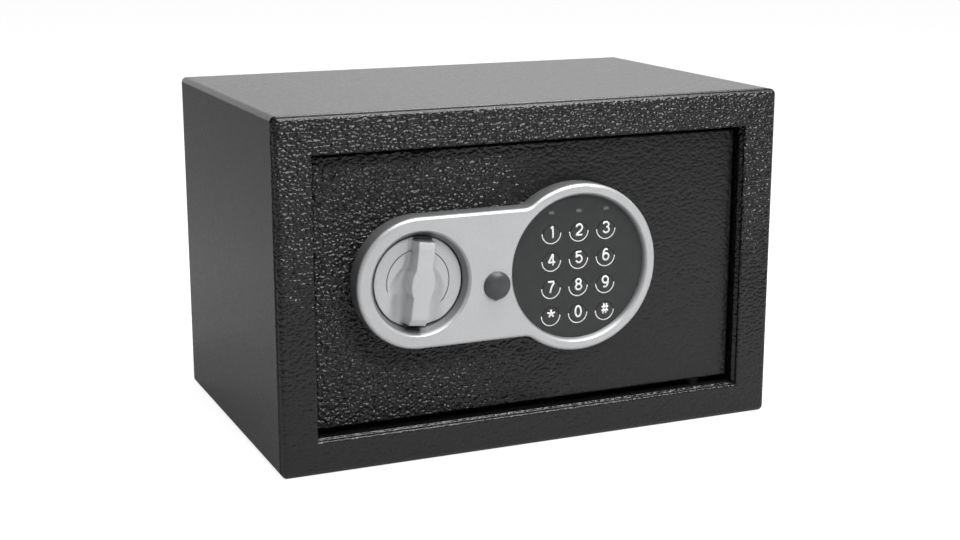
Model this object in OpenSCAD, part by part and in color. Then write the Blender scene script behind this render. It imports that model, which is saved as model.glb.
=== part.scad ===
// Small electronic safe: a folded steel cabinet, a recessed door on concealed pins, a moulded
// escutcheon with a twelve-key pad and a turn knob, and the boltwork on the back of the door.
// Millimetres. X runs right as seen from the front, Y runs back, Z runs up.
// The origin is the middle of the underside of the cabinet.

/* [Cabinet] */
// Outside width of the cabinet
body_w = 310; // [300:1:360]
// Outside depth of the cabinet, without the fittings
body_d = 200; // [180:1:280]
// Outside height of the cabinet
body_h = 200; // [194:1:260]
// Thickness of the folded sheet
sheet_t = 2; // [1.5:0.1:2.4]
// Outside radius of the folded edges
bend_r = 3.2; // [2.8:0.1:4]

/* [Front frame] */
// Width of the frame beside the door
border_side = 21; // [18:0.5:24]
// Height of the frame under the door
border_bottom = 19.5; // [17:0.5:22]
// Height of the frame over the door
border_top = 21.5; // [18:0.5:24]
// Radius of the frame's edge round the doorway
doorway_r = 1.4; // [0.8:0.1:1.8]

/* [Door] */
// How far the door's face lies behind the frame's face
door_recess = 9; // [7:0.5:11]
// Thickness of the door plate
door_t = 4; // [3.5:0.1:5]
// Gap beside and above the door
door_gap = 2; // [1.8:0.1:2.5]
// Gap under the door
door_gap_bottom = 4; // [4:0.1:5]
// Radius of the door's front edges
door_r = 1.2; // [0.8:0.1:1.6]
// Clearance between the closed door and its stops
stop_gap = 0.3; // [0.2:0.05:0.6]

/* [Hinge] */
// Distance from the door's right edge to the hinge axis
hinge_inset = 20; // [19:0.5:24]
// Radius of the hinge pins
pin_r = 2.5; // [2:0.1:2.8]
// Thickness of the hinge brackets
bracket_t = 3; // [2.5:0.1:3]
// Thickness of the ears on the door
ear_t = 4; // [3:0.5:5]

/* [Escutcheon] */
// Height of the fittings' centre line above the middle of the door
fit_lift = 4; // [2:0.5:7]
// Distance from the door's left edge to the knob
knob_from_edge = 58; // [56:0.5:62]
// Distance from the knob to the middle of the keypad
pad_from_knob = 98; // [96:0.5:102]
// Radius of the escutcheon's end round the knob
knob_end_r = 37.4; // [36:0.1:40]
// Radius of the escutcheon's end round the keypad
pad_end_r = 49; // [48:0.1:51]
// Radius of the hollow corners between the two ends
neck_r = 12; // [8:0.5:16]
// How far the escutcheon stands out from the door
bezel_h = 12.5; // [12:0.1:14]
// Radius of the escutcheon's outer edge
bezel_edge_r = 2.3; // [1.5:0.1:2.5]
// Thickness of the escutcheon's side wall
bezel_wall = 2.6; // [2.6:0.1:3]

/* [Knob] */
// Radius of the knob's disc
knob_r = 26.2; // [24:0.1:27]
// Radius of the dished recess at the face
dish_r = 29.4; // [28.9:0.1:30.5]
// Width of the grip bar
grip_w = 8; // [6:0.5:9]
// How far the grip bar stands out in front of the escutcheon
grip_proud = 2.5; // [1:0.1:4]
// Lean of the grip bar with the bolts drawn back, in degrees
grip_lean = 7; // [0:1:15]
// Turn of the knob that throws the bolts, in degrees
knob_turn = 60; // [50:1:70]

/* [Keypad] */
// Radius of the keypad window at the escutcheon's face
window_r = 43.2; // [42.6:0.1:44]
// Radius of a key
key_r = 5.2; // [4.6:0.1:5.6]
// Distance between key columns
key_pitch_x = 17.4; // [15:0.1:18]
// Distance between key rows
key_pitch_z = 16.1; // [15:0.1:16.5]
// Travel of a key
key_travel = 1; // [0.5:0.1:1]

/* [Boltwork] */
// Radius of the bolts
bolt_r = 7; // [6:0.1:7.5]
// Travel of the bolts
bolt_travel = 15; // [12:0.5:15]
// Height of each bolt above and below the knob
bolt_rise = 30; // [29:0.5:32]
// Lift of the blocking plunger
plunger_lift = 3; // [2:0.1:3.5]

/* [Inside] */
// Depth of the cover over the boltwork
cover_depth = 37; // [37:0.5:44]
// Radius of an anchor hole
anchor_r = 5; // [4:0.5:6.5]
// Distance between the two anchor holes in the back
back_anchor_pitch = 160; // [120:1:220]
// Distance between the two anchor holes in the floor
floor_anchor_pitch = 180; // [120:1:220]
// Thickness of the floor mat
mat_t = 2; // [1:0.5:4]

/* [Hidden] */
$fn = 64;

// clearances
run_gap = 0.05;
loose_gap = 0.3;
slide_gap = 0.1;
// sheet thicknesses of the small pressings
thin_t = 1.5;
plate_t = 2.5;

// the doorway and the door
half_w = body_w / 2;
front_y = -body_d / 2;
back_y = body_d / 2;
way_x = half_w - border_side;
way_z0 = border_bottom;
way_z1 = body_h - border_top;
door_x0 = -way_x + door_gap;
door_x1 = way_x - door_gap;
door_z0 = way_z0 + door_gap_bottom;
door_z1 = way_z1 - door_gap;
door_y = front_y + door_recess;
door_back = door_y + door_t;
return_y = door_back + stop_gap;

// the hinge line
hinge_x = door_x1 - hinge_inset;
hinge_y = door_back + pin_r + 1.5;
ear_half = 9;
ear_back = hinge_y + pin_r + 4.5;
tongue_front = return_y;
tongue_back = hinge_y + pin_r + 6.5;
pin_over = 1.5;
stop_x = [door_x0 + 32, door_x1 - 92];
stop_w = 20;
stop_lap = 4;

// the fittings' centres
fit_z = (door_z0 + door_z1) / 2 + fit_lift;
knob_x = door_x0 + knob_from_edge;
pad_x = knob_x + pad_from_knob;
lock_x = knob_x + 45.5;
lock_z = fit_z - 5.3;

// the escutcheon, measured from the door's face outwards
face_t = 3;
neck_x = pad_x - sqrt(pow(pad_end_r + neck_r, 2) - pow(knob_end_r + neck_r, 2));
neck_angle = atan2(knob_end_r + neck_r, pad_x - neck_x);
boss_r = 3.2;
screw_r = 1.5;
screw_reach = 6;
collar_r = 7;
cup_floor = 3;
cup_floor_t = 1.8;
cup_wall = 2;
cup_r = knob_r + 0.6;
bezel_bosses = [[knob_x + 30, 31], [knob_x + 30, -31], [neck_x - 2.2, 31.5], [neck_x - 2.2, -31.5]];

// the keypad, stacked behind the escutcheon's face
window_cone = 1.3;
pad_face = bezel_h - face_t;
pad_plate_t = 2;
pad_plate_r = window_r + 1.3;
mat_sheet_t = 1;
bump_h = 1;
bump_gap = 0.2;
board_t = 1.6;
board_r = pad_plate_r - 2.5;
key_proud = 0.8;
key_flange = 1;
mat_top = pad_face - pad_plate_t - loose_gap - key_flange - key_travel - bump_gap - bump_h;
key_top_row = 20.7;
window_rise = 33;
pad_bosses = [[36, 14], [36, -14]];
board_bosses = [[-33.3, 19.2], [-33.3, -19.2], [0, -38.5]];
board_boss_r = 2.2;
screw_spots = concat([for (b = bezel_bosses) [b[0], fit_z + b[1]]],
    [for (b = pad_bosses) [pad_x + b[0], fit_z + b[1]]]);

// the knob
knob_back = cup_floor + loose_gap;
knob_face = 7;
grip_top = bezel_h + grip_proud;
grip_half = knob_r - 2.5;
grip_cut = 3.7;
hub_r = 6.75;
hub_fillet = 4;
groove_r = 18.5;
scoop_r = 9;
scoop_depth = 2.8;
spindle_r = 4;

// the boltwork, behind the door plate
bolt_tip_x = door_x0 + 4;
bolt_y = door_back + 2.5 + bolt_r;
rivet_r = 4;
carriage_y = bolt_y + bolt_r + 1;
carriage_x0 = knob_x - 18;
carriage_x1 = knob_x + 14;
carriage_rise = bolt_rise + 12;
crank_r = bolt_travel / (2 * sin(knob_turn / 2));
crank_y = door_back + 3;
crank_t = 3;
crank_pin_r = 3;
guide_x0 = door_x0 + 11;
guide_t = 3;
guide_rise = bolt_rise + bolt_r + 3;
post_r = 3;
posts = [[knob_x + 12, fit_z - bolt_rise + 2], [knob_x - 9, fit_z + bolt_rise]];
plunger_r = 3;
plunger_x = knob_x + 29;
plunger_y = carriage_y + plate_t / 2;
tongue_end = plunger_x - plunger_r - 0.7 + bolt_travel;
tongue_top = fit_z - 16;
cam_r = 7;
cam_throw = plunger_lift / (2 * sin(45));
arm_z = lock_z - cam_throw * sin(45) + cam_r + loose_gap;
arm_t = 2;
coil_z = arm_z + arm_t + 9.5;
frame_half = 11;
frame_h = 36;
frame_t = 2;
coil_h = frame_h - 2 * frame_t;

// the override lock
lock_front = 4.5;
lock_r = 8;
lock_back = door_back + 23;
core_r = 6;
nut_t = 4;
cam_y = lock_back + loose_gap;
cam_t = 3;

// the inner cover and what it holds
cover_x0 = door_x0 + 17;
cover_x1 = hinge_x - 13;
cover_margin = 12.5;
cover_z0 = door_z0 + cover_margin;
cover_z1 = door_z1 - cover_margin;
cover_y = door_back + cover_depth;
cover_screw_x = [door_x0 + 12, hinge_x - 9];
cover_screw_z = [cover_z0 + 11, cover_z1 - 5];
cover_screw_r = 2;
cover_tab = 10;
cell_r = 7.25;
cell_l = 50.5;
cell_pitch = 15;
cells = 4;
tray_wall = 1.5;
tray_w = cells * cell_pitch + 1 + 2 * tray_wall;
tray_h = cell_l + 6.5 + 2 * tray_wall;
tray_x0 = min(cover_x1 - 8 - tray_w, pad_x + 3);
tray_z0 = fit_z - tray_h / 2;
tray_depth = 18;
tray_y = cover_y - thin_t - tray_depth;
cell_y = tray_y + tray_wall + 0.2 + cell_r;
cell_z0 = tray_z0 + tray_wall + 4.8;
lid_t = 1.5;
reset_x = cover_x1 - 19;
reset_z = cover_z1 - 14;
reset_r = 3;
reset_travel = 1.5;
wire_r = 1.5;
wire_z = fit_z + 16;
wire_hole_r = 9;
wire_x = max(tray_x0 + 3, pad_x + 6);
wire_bend = 5;

// ---------- shapes shared by several pieces ----------

// a slab from y0 to y1 with the outline drawn in X and Z
module slab(y0, y1) translate([0, y1, 0]) rotate([90, 0, 0]) linear_extrude(y1 - y0) children();

// a round bar along Y
module bar_y(x, z, y0, y1, r) translate([x, y1, z]) rotate([90, 0, 0]) cylinder(r = r, h = y1 - y0);

// a rectangle with rounded corners
module round_rect(x0, x1, z0, z1, r) {
    translate([x0 + r, z0]) square([x1 - x0 - 2 * r, z1 - z0]);
    translate([x0, z0 + r]) square([x1 - x0, z1 - z0 - 2 * r]);
    for (x = [x0 + r, x1 - r], z = [z0 + r, z1 - r]) translate([x, z]) circle(r);
}

// a plate whose corners and front edges are all rounded by r
module soft_plate(x0, x1, z0, z1, y0, y1, r) {
    slab(y0 + r, y1) round_rect(x0, x1, z0, z1, r);
    slab(y0, y0 + r) translate([x0 + r, z0 + r]) square([x1 - x0 - 2 * r, z1 - z0 - 2 * r]);
    for (z = [z0 + r, z1 - r]) translate([x0 + r, y0 + r, z]) rotate([0, 90, 0])
        cylinder(r = r, h = x1 - x0 - 2 * r);
    for (x = [x0 + r, x1 - r]) translate([x, y0 + r, z0 + r]) cylinder(r = r, h = z1 - z0 - 2 * r);
    for (x = [x0 + r, x1 - r], z = [z0 + r, z1 - r]) translate([x, y0 + r, z]) sphere(r);
}

// places a solid on the door's face, heights h running outwards along the local Z
module on_door(x, z) translate([x, door_y, z]) rotate([90, 0, 0]) children();

// the point at angle a on the middle of a coil's wire, and the ring of points round it
function coil_mid(r, pitch, a) = [r * cos(a), r * sin(a), pitch * a / 360];
function coil_ring(r, pitch, wire, a, sides) = [for (i = [0:sides - 1])
    let (b = 360 * i / sides, out = r + wire * cos(b))
    [out * cos(a), out * sin(a), pitch * a / 360 + wire * sin(b)]];

// an open coil spring along Z as one unbroken tube
module coil(r, wire, turns, pitch, sides = 6, rings = 8) {
    n = turns * rings;
    points = [for (k = [0:n]) each coil_ring(r, pitch, wire, 360 * k / rings, sides)];
    faces = [for (k = [0:n - 1], i = [0:sides - 1])
        let (a = k * sides + i, b = k * sides + (i + 1) % sides)
        each [[a, b, a + sides], [b, b + sides, a + sides]]];
    start = [for (i = [1:sides - 2]) [0, i + 1, i]];
    end = [for (i = [1:sides - 2]) [n * sides, n * sides + i, n * sides + i + 1]];
    polyhedron(points, concat(faces, start, end), convexity = 8);
}

// ---------- cabinet ----------

module body_shell() color("#2b2b2d") difference() {
    slab(front_y + 2 * bend_r, back_y) difference() {
        round_rect(-half_w, half_w, 0, body_h, bend_r);
        round_rect(-half_w + sheet_t, half_w - sheet_t, sheet_t, body_h - sheet_t, bend_r - sheet_t);
    }
    for (s = [-1, 1]) translate([s * floor_anchor_pitch / 2, 0, -1])
        cylinder(r = anchor_r, h = sheet_t + 2);
}

// a strip of the frame's face, its front edge towards the doorway rounded
module face_strip(length, width) difference() {
    translate([-length / 2, 0, 0]) cube([length, sheet_t, width]);
    difference() {
        translate([-length, -1, width - doorway_r]) cube([2 * length, 1 + doorway_r, doorway_r + 1]);
        translate([-length, doorway_r, width - doorway_r]) rotate([0, 90, 0])
            cylinder(r = doorway_r, h = 2 * length);
    }
}

module front_frame() color("#2b2b2d") {
    lap = bend_r + 4;
    across = body_w - 2 * lap;
    up = body_h - 2 * lap;
    // the folded outer edge
    difference() {
        soft_plate(-half_w, half_w, 0, body_h, front_y, front_y + 2 * bend_r, bend_r);
        soft_plate(-half_w + sheet_t, half_w - sheet_t, sheet_t, body_h - sheet_t,
            front_y + sheet_t, front_y + 2 * bend_r + 1, bend_r - sheet_t);
        translate([-half_w + lap, front_y - 1, lap]) cube([across, sheet_t + 2, up]);
    }
    // the four strips of the face
    translate([0, front_y, lap]) face_strip(across, border_bottom - lap);
    translate([0, front_y, body_h - lap]) mirror([0, 0, 1]) face_strip(across, border_top - lap);
    for (s = [0, 1]) mirror([s, 0, 0]) translate([-half_w + lap, front_y, body_h / 2])
        rotate([0, 90, 0]) face_strip(up, border_side - lap);
    // the returns that line the doorway
    slab(front_y + sheet_t, return_y) difference() {
        translate([-way_x - sheet_t, way_z0 - sheet_t])
            square([2 * (way_x + sheet_t), way_z1 - way_z0 + 2 * sheet_t]);
        translate([-way_x, way_z0]) square([2 * way_x, way_z1 - way_z0]);
    }
}

module back_panel() color("#2b2b2d") {
    x = half_w - sheet_t;
    r = bend_r - sheet_t;
    difference() {
        slab(back_y - sheet_t, back_y) round_rect(-x, x, sheet_t, body_h - sheet_t, r);
        for (s = [-1, 1])
            bar_y(s * back_anchor_pitch / 2, body_h / 2, back_y - sheet_t - 1, back_y + 1, anchor_r);
    }
}

// a tongue on the doorway's return with a leg out to the cabinet wall
module hinge_bracket(tongue_z0, leg_z0, leg_z1) difference() {
    union() {
        translate([hinge_x - ear_half - 1, tongue_front, tongue_z0])
            cube([2 * ear_half + 2, tongue_back - tongue_front, bracket_t]);
        translate([hinge_x - ear_half - 1, tongue_back - bracket_t, leg_z0])
            cube([2 * ear_half + 2, bracket_t, leg_z1 - leg_z0]);
    }
    translate([hinge_x, hinge_y, tongue_z0 - 1]) cylinder(r = pin_r, h = bracket_t + 2);
}

module hinge_bracket_lower() color("#3a3a3c")
    hinge_bracket(way_z0 - bracket_t, sheet_t, way_z0);

module hinge_bracket_upper() color("#3a3a3c")
    hinge_bracket(way_z1 + sheet_t, way_z1 + sheet_t, body_h - sheet_t);

module hinge_pin_lower() color("silver") {
    z = way_z0 - bracket_t;
    translate([hinge_x, hinge_y, z]) cylinder(r = pin_r, h = door_z0 + ear_t + pin_over - z);
}

module hinge_pin_upper() color("silver") {
    z = door_z1 - ear_t - pin_over;
    translate([hinge_x, hinge_y, z]) cylinder(r = pin_r, h = way_z1 + sheet_t + bracket_t - z);
}

// the spacer that carries the door on the lower bracket
module hinge_washer() color("#222224") translate([hinge_x, hinge_y, way_z0]) difference() {
    cylinder(r = pin_r + 2, h = door_gap_bottom);
    translate([0, 0, -1]) cylinder(r = pin_r, h = door_gap_bottom + 2);
}

// two stops over the door and one on the side of the bolts
module door_stops() color("#3a3a3c") {
    z = door_z1 - stop_lap;
    for (x = stop_x) translate([x, return_y, z]) cube([stop_w, bracket_t, way_z1 + sheet_t - z]);
    translate([-way_x - sheet_t, return_y, door_z1 - stop_w])
        cube([door_x0 + stop_lap + way_x + sheet_t, bracket_t, 0.6 * stop_w]);
}

module floor_mat() color("#1c1c1d") {
    margin = 3;
    x = half_w - sheet_t - margin;
    y0 = tongue_back + margin;
    y1 = back_y - sheet_t - margin;
    difference() {
        translate([-x, y0, sheet_t]) cube([2 * x, y1 - y0, mat_t]);
        for (s = [-1, 1]) translate([s * floor_anchor_pitch / 2, 0, 0])
            cylinder(r = anchor_r + 6, h = sheet_t + mat_t + 1);
    }
}

// ---------- door plate and hinge ears ----------

module door_panel() color("#262628") difference() {
    soft_plate(door_x0, door_x1, door_z0, door_z1, door_y, door_back, door_r);
    bar_y(knob_x, fit_z, door_y - 1, door_back + 1, spindle_r + run_gap);
    bar_y(lock_x, lock_z, door_y - 1, door_back + 1, lock_r + run_gap);
    bar_y(pad_x, wire_z, door_y - 1, door_back + 1, wire_hole_r);
    for (p = screw_spots) bar_y(p[0], p[1], door_y - 1, door_back + 1, screw_r + slide_gap);
    for (x = cover_screw_x, z = cover_screw_z)
        bar_y(x, z, door_y + 1, door_back + 1, cover_screw_r + slide_gap);
}

module hinge_ear(z) difference() {
    translate([hinge_x - ear_half, door_back, z]) cube([2 * ear_half, ear_back - door_back, ear_t]);
    translate([hinge_x, hinge_y, z - 1]) cylinder(r = pin_r + run_gap, h = ear_t + 2);
}

module hinge_ear_lower() color("#3a3a3c") hinge_ear(door_z0);
module hinge_ear_upper() color("#3a3a3c") hinge_ear(door_z1 - ear_t);

// ---------- escutcheon ----------

// a section r wide and as high as the escutcheon, its outer top corner rounded
module soft_section(r, edge = bezel_edge_r) {
    square([r, bezel_h - edge]);
    square([r - edge, bezel_h]);
    translate([r - edge, bezel_h - edge]) circle(edge);
}

// the escutcheon's outer form, solid, about the fittings' centre line
module bezel_form() {
    translate([knob_x, 0, 0]) rotate_extrude() soft_section(knob_end_r);
    translate([pad_x, 0, 0]) rotate_extrude() soft_section(pad_end_r);
    translate([knob_x, 0, 0]) rotate([90, 0, 90]) linear_extrude(neck_x - knob_x + 4)
        for (s = [0, 1]) mirror([s, 0]) soft_section(knob_end_r);
    // the hollow corners where the two ends meet, drawn in a little so that they cross cleanly
    ease = 0.1;
    for (s = [0, 1]) mirror([0, s, 0]) translate([neck_x, -knob_end_r - neck_r, 0])
        rotate([0, 0, neck_angle]) rotate_extrude(angle = 90 - neck_angle)
            translate([neck_r + ease + knob_end_r, 0]) mirror([1, 0])
                soft_section(knob_end_r, bezel_edge_r - ease);
}

// the whole outline drawn in by t, about the fittings' centre line
module bezel_outline(t) {
    translate([knob_x, 0]) circle(knob_end_r - t);
    translate([pad_x, 0]) circle(pad_end_r - t);
    translate([knob_x, t - knob_end_r]) square([neck_x - knob_x + 0.01, 2 * (knob_end_r - t)]);
    for (s = [0, 1]) mirror([0, s]) difference() {
        polygon([[neck_x, 0], [neck_x, knob_end_r + neck_r], [pad_x, 0]]);
        translate([neck_x, knob_end_r + neck_r]) circle(neck_r + t);
    }
}

// section of the dished cup that takes the knob
module cup_section() {
    lip = 0.7;
    polygon(concat(
        [[spindle_r + 4.2, cup_floor], [cup_r, cup_floor], [cup_r, knob_face + 0.3]],
        [for (a = [0:15:90]) [dish_r - lip * (1 - sin(a)) + lip, bezel_h - lip * (1 - sin(a))]],
        [[dish_r + cup_wall, bezel_h], [dish_r + cup_wall, bezel_h - face_t],
            [cup_r + cup_wall, cup_floor - cup_floor_t], [spindle_r + 4.2, cup_floor - cup_floor_t]]));
}

module bezel() color("#c2c3c5") translate([0, door_y, fit_z]) rotate([90, 0, 0]) difference() {
    union() {
        difference() {
            bezel_form();
            translate([0, 0, -1]) linear_extrude(bezel_h - face_t + 1) bezel_outline(bezel_wall);
            translate([knob_x, 0, 0]) cylinder(r = dish_r + 1, h = bezel_h + 1);
        }
        translate([knob_x, 0, 0]) rotate_extrude() cup_section();
        for (b = bezel_bosses) translate([b[0], b[1], 0]) cylinder(r = boss_r, h = bezel_h - 1);
        translate([lock_x, lock_z - fit_z, lock_front + 1])
            cylinder(r = collar_r + 1.5, h = bezel_h - lock_front - 2);
    }
    // the keypad window, its edge flared towards the face
    translate([pad_x, 0, 0]) rotate_extrude() polygon([[0, 0], [window_r - window_cone, 0],
        [window_r - window_cone, bezel_h - face_t], [window_r, bezel_h - 0.6],
        [window_r + 0.7, bezel_h + 0.1], [0, bezel_h + 0.1]]);
    // room behind the face for the keypad plate
    translate([pad_x, 0, -1]) cylinder(r = pad_plate_r + slide_gap, h = bezel_h - face_t + 1);
    translate([lock_x, lock_z - fit_z, 0]) cylinder(r = collar_r, h = bezel_h + 1);
    for (b = bezel_bosses) translate([b[0], b[1], -1]) cylinder(r = screw_r, h = screw_reach + 1.5);
}

module bezel_screws() color("silver") {
    for (p = screw_spots) {
        bar_y(p[0], p[1], door_y - screw_reach, door_back, screw_r);
        bar_y(p[0], p[1], door_back, door_back + 2.2, 2 * screw_r);
    }
}

// ---------- keypad ----------

key_names = ["key_1", "key_2", "key_3", "key_4", "key_5", "key_6", "key_7", "key_8", "key_9",
    "key_star", "key_0", "key_hash"];
function key_at(i) = [(i % 3 - 1) * key_pitch_x, key_top_row - floor(i / 3) * key_pitch_z];

module at_keys() for (i = [0:11]) translate([key_at(i)[0], key_at(i)[1], 0]) children();
module at_windows() for (i = [-1:1]) translate([i * key_pitch_x, window_rise, 0]) children();

module keypad_plate() color("#3e3f41") on_door(pad_x, fit_z) difference() {
    union() {
        translate([0, 0, pad_face - pad_plate_t]) cylinder(r = pad_plate_r, h = pad_plate_t);
        for (b = pad_bosses) translate([b[0], b[1], 0]) cylinder(r = boss_r, h = pad_face - 1);
        for (b = board_bosses) translate([b[0], b[1], mat_top])
            cylinder(r = board_boss_r, h = pad_face - 1 - mat_top);
    }
    translate([0, 0, -1]) at_keys() cylinder(r = key_r + loose_gap, h = bezel_h);
    translate([0, 0, pad_face - pad_plate_t - 1]) at_windows() translate([-1.6, -0.9, 0])
        cube([3.2, 1.8, pad_plate_t + 2]);
    for (b = pad_bosses) translate([b[0], b[1], -1]) cylinder(r = screw_r, h = screw_reach + 1);
    for (b = board_bosses) translate([b[0], b[1], mat_top - 1]) cylinder(r = 1, h = 4);
}

module status_windows() color("#8d9a96") on_door(pad_x, fit_z)
    translate([0, 0, pad_face - pad_plate_t]) at_windows() translate([-1.6, -0.9, 0])
        cube([3.2, 1.8, pad_plate_t]);

module pad_layer(z0, z1) translate([0, 0, z0]) linear_extrude(z1 - z0) difference() {
    circle(board_r);
    for (b = pad_bosses) translate(b) circle(boss_r + loose_gap);
    for (b = board_bosses) translate(b) circle(1 + slide_gap);
}

module key_mat() color("#6d6f72") on_door(pad_x, fit_z) {
    pad_layer(mat_top - mat_sheet_t, mat_top);
    at_keys() translate([0, 0, mat_top - mat_sheet_t / 2])
        cylinder(r = key_r - 1.7, h = bump_h + mat_sheet_t / 2);
}

module keypad_board() color("#1f6b45") on_door(pad_x, fit_z)
    pad_layer(mat_top - mat_sheet_t - board_t, mat_top - mat_sheet_t);

module keypad_screws() color("silver") on_door(pad_x, fit_z) for (b = board_bosses)
    translate([b[0], b[1], mat_top - mat_sheet_t - board_t]) {
        cylinder(r = 1, h = mat_sheet_t + board_t + 2.5);
        translate([0, 0, -0.9]) cylinder(r = 2, h = 0.9);
    }

// one key: a domed cap with a flange that the plate holds in
module key(i) color("#343537") on_door(pad_x + key_at(i)[0], fit_z + key_at(i)[1]) {
    dome = 0.7;
    dome_r = (key_r * key_r + dome * dome) / (2 * dome);
    top = pad_face + key_proud;
    flange_top = pad_face - pad_plate_t - loose_gap;
    rotate_extrude() {
        translate([0, flange_top - key_flange]) square([key_r + 1, key_flange]);
        translate([0, flange_top - 0.1]) square([key_r, top - dome - flange_top + 0.1]);
        intersection() {
            translate([0, top - dome_r]) circle(dome_r, $fn = 180);
            translate([0, top - dome]) square([key_r, dome]);
        }
    }
}

// ---------- override lock ----------

module keyhole_plug() color("#3b3c3e") on_door(lock_x, lock_z) {
    cap_r = collar_r + 1.1;
    dome = 3;
    rim = 0.4;
    dome_r = (cap_r * cap_r + dome * dome) / (2 * dome);
    rotate_extrude() {
        translate([0, bezel_h]) square([cap_r, rim]);
        intersection() {
            translate([0, bezel_h + rim + dome - dome_r]) circle(dome_r, $fn = 180);
            translate([0, bezel_h + rim]) square([cap_r, dome]);
        }
        translate([0, bezel_h - 4]) square([collar_r - loose_gap, 4]);
    }
    translate([-0.6, -cap_r + 0.9, bezel_h]) cylinder(r = 1.8, h = 1.1);
}

module lock_housing() color("#b9babc") on_door(lock_x, lock_z) difference() {
    union() {
        cylinder(r = lock_r + 1, h = lock_front);
        translate([0, 0, door_y - lock_back]) cylinder(r = lock_r, h = lock_back - door_y + 0.1);
    }
    translate([0, 0, door_y - lock_back - 1])
        cylinder(r = core_r + run_gap, h = lock_back - door_y + lock_front + 2);
}

module lock_nut() color("#a5a6a8") difference() {
    translate([lock_x, door_back + nut_t, lock_z]) rotate([90, 0, 0])
        cylinder(r = lock_r + 4, h = nut_t, $fn = 6);
    bar_y(lock_x, lock_z, door_back - 1, door_back + nut_t + 1, lock_r);
}

module lock_core() color("#c9b26a") difference() {
    union() {
        bar_y(lock_x, lock_z, door_y - lock_front, lock_back, core_r);
        bar_y(lock_x, lock_z, lock_back - 0.1, cam_y + cam_t, core_r - 2);
    }
    translate([lock_x - 3.5, door_y - lock_front - 1, lock_z - 0.8]) cube([7, 9, 1.6]);
}

module lock_cam() color("silver") difference() {
    bar_y(lock_x + cam_throw * cos(45), lock_z - cam_throw * sin(45), cam_y, cam_y + cam_t, cam_r);
    bar_y(lock_x, lock_z, cam_y - 1, cam_y + cam_t + 1, core_r - 2);
}

// ---------- solenoid and plunger ----------

module solenoid_bracket() color("#8f9092") {
    foot = 7;
    y = plunger_y - frame_half + 1;
    slab(y - frame_t, y) translate([plunger_x - frame_half, coil_z]) square([2 * frame_half, frame_h]);
    for (s = [0, 1]) translate([plunger_x, 0, 0]) mirror([s, 0, 0]) {
        slab(door_back, y - frame_t) translate([frame_half - frame_t, coil_z])
            square([frame_t, frame_h]);
        slab(door_back, door_back + thin_t) translate([frame_half, coil_z + frame_h - 12])
            square([foot, 12]);
    }
}

module solenoid_frame() color("#a5a6a8") difference() {
    slab(plunger_y - frame_half + 1, plunger_y + frame_half - 1) difference() {
        translate([plunger_x - frame_half, coil_z]) square([2 * frame_half, frame_h]);
        translate([plunger_x - frame_half + frame_t, coil_z + frame_t])
            square([2 * (frame_half - frame_t), coil_h]);
    }
    translate([plunger_x, plunger_y, coil_z - 1])
        cylinder(r = plunger_r + slide_gap, h = frame_t + 2);
}

module solenoid_coil() color("#7a2f22")
    translate([plunger_x, plunger_y, coil_z + frame_t]) difference() {
        cylinder(r = frame_half - frame_t - slide_gap, h = coil_h);
        translate([0, 0, -1]) cylinder(r = plunger_r + slide_gap, h = coil_h - 7);
    }

module plunger() color("silver") {
    stroke_top = coil_z + 14;
    translate([plunger_x, plunger_y, tongue_top + loose_gap])
        cylinder(r = plunger_r, h = stroke_top - tongue_top - loose_gap);
    translate([plunger_x - plunger_r - 2, plunger_y - plunger_r - 0.5, arm_z])
        cube([2 * plunger_r + 4, cam_y + cam_t - plunger_y + plunger_r + 0.5, arm_t]);
    translate([plunger_x - plunger_r - 2, cam_y, arm_z])
        cube([lock_x + 5 - plunger_x + plunger_r + 2, cam_t, arm_t]);
}

module plunger_spring() color("silver") {
    wire = 0.4;
    gap = 0.1;
    turns = 5;
    span = coil_z - arm_z - arm_t - 2 * wire - 2 * gap;
    translate([plunger_x, plunger_y, arm_z + arm_t + wire + gap])
        coil(plunger_r + wire + 0.6, wire, turns, span / turns);
}

// ---------- knob, spindle and crank ----------

// the grip bar and its hub seen from the front
module grip_plan() {
    reach = sqrt(pow(hub_r + hub_fillet, 2) - pow(grip_w / 2 + hub_fillet, 2));
    side = grip_w / 2 + hub_fillet;
    circle(hub_r);
    translate([-grip_w / 2, -grip_half]) square([grip_w, 2 * grip_half]);
    for (a = [0, 1], b = [0, 1]) mirror([a, 0]) mirror([0, b]) difference() {
        polygon([[0, 0], [side, reach], [0, reach]]);
        translate([side, reach]) circle(hub_fillet);
    }
}

module knob() color("#c9cacc") on_door(knob_x, fit_z) rotate([0, 0, -grip_lean]) difference() {
    union() {
        difference() {
            rotate_extrude() {
                translate([0, knob_back]) square([knob_r, knob_face - knob_back - 0.5]);
                translate([0, knob_back]) square([knob_r - 0.5, knob_face - knob_back]);
                translate([knob_r - 0.5, knob_face - 0.5]) circle(0.5);
            }
            for (s = [-1, 1]) translate([s * (grip_w / 2 + 0.6), 0, knob_face + scoop_r - scoop_depth])
                rotate([90, 0, 0]) cylinder(r = scoop_r, h = 2 * knob_r + 2, center = true);
            translate([0, 0, knob_face]) rotate_extrude() translate([groove_r, 0]) circle(0.4);
        }
        intersection() {
            translate([0, 0, knob_back]) linear_extrude(grip_top - knob_back) grip_plan();
            rotate([90, 0, 90]) linear_extrude(2 * knob_r, center = true)
                polygon([[-grip_half, 0], [-grip_half, grip_top - grip_cut - 0.8],
                    [grip_cut - grip_half, grip_top], [grip_half - grip_cut, grip_top],
                    [grip_half, grip_top - grip_cut - 0.8], [grip_half, 0]]);
        }
        translate([0, 0, 0.5]) cylinder(r = spindle_r + 3.5, h = knob_back);
    }
    cylinder(r = spindle_r, h = knob_face - 1.5);
}

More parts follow.
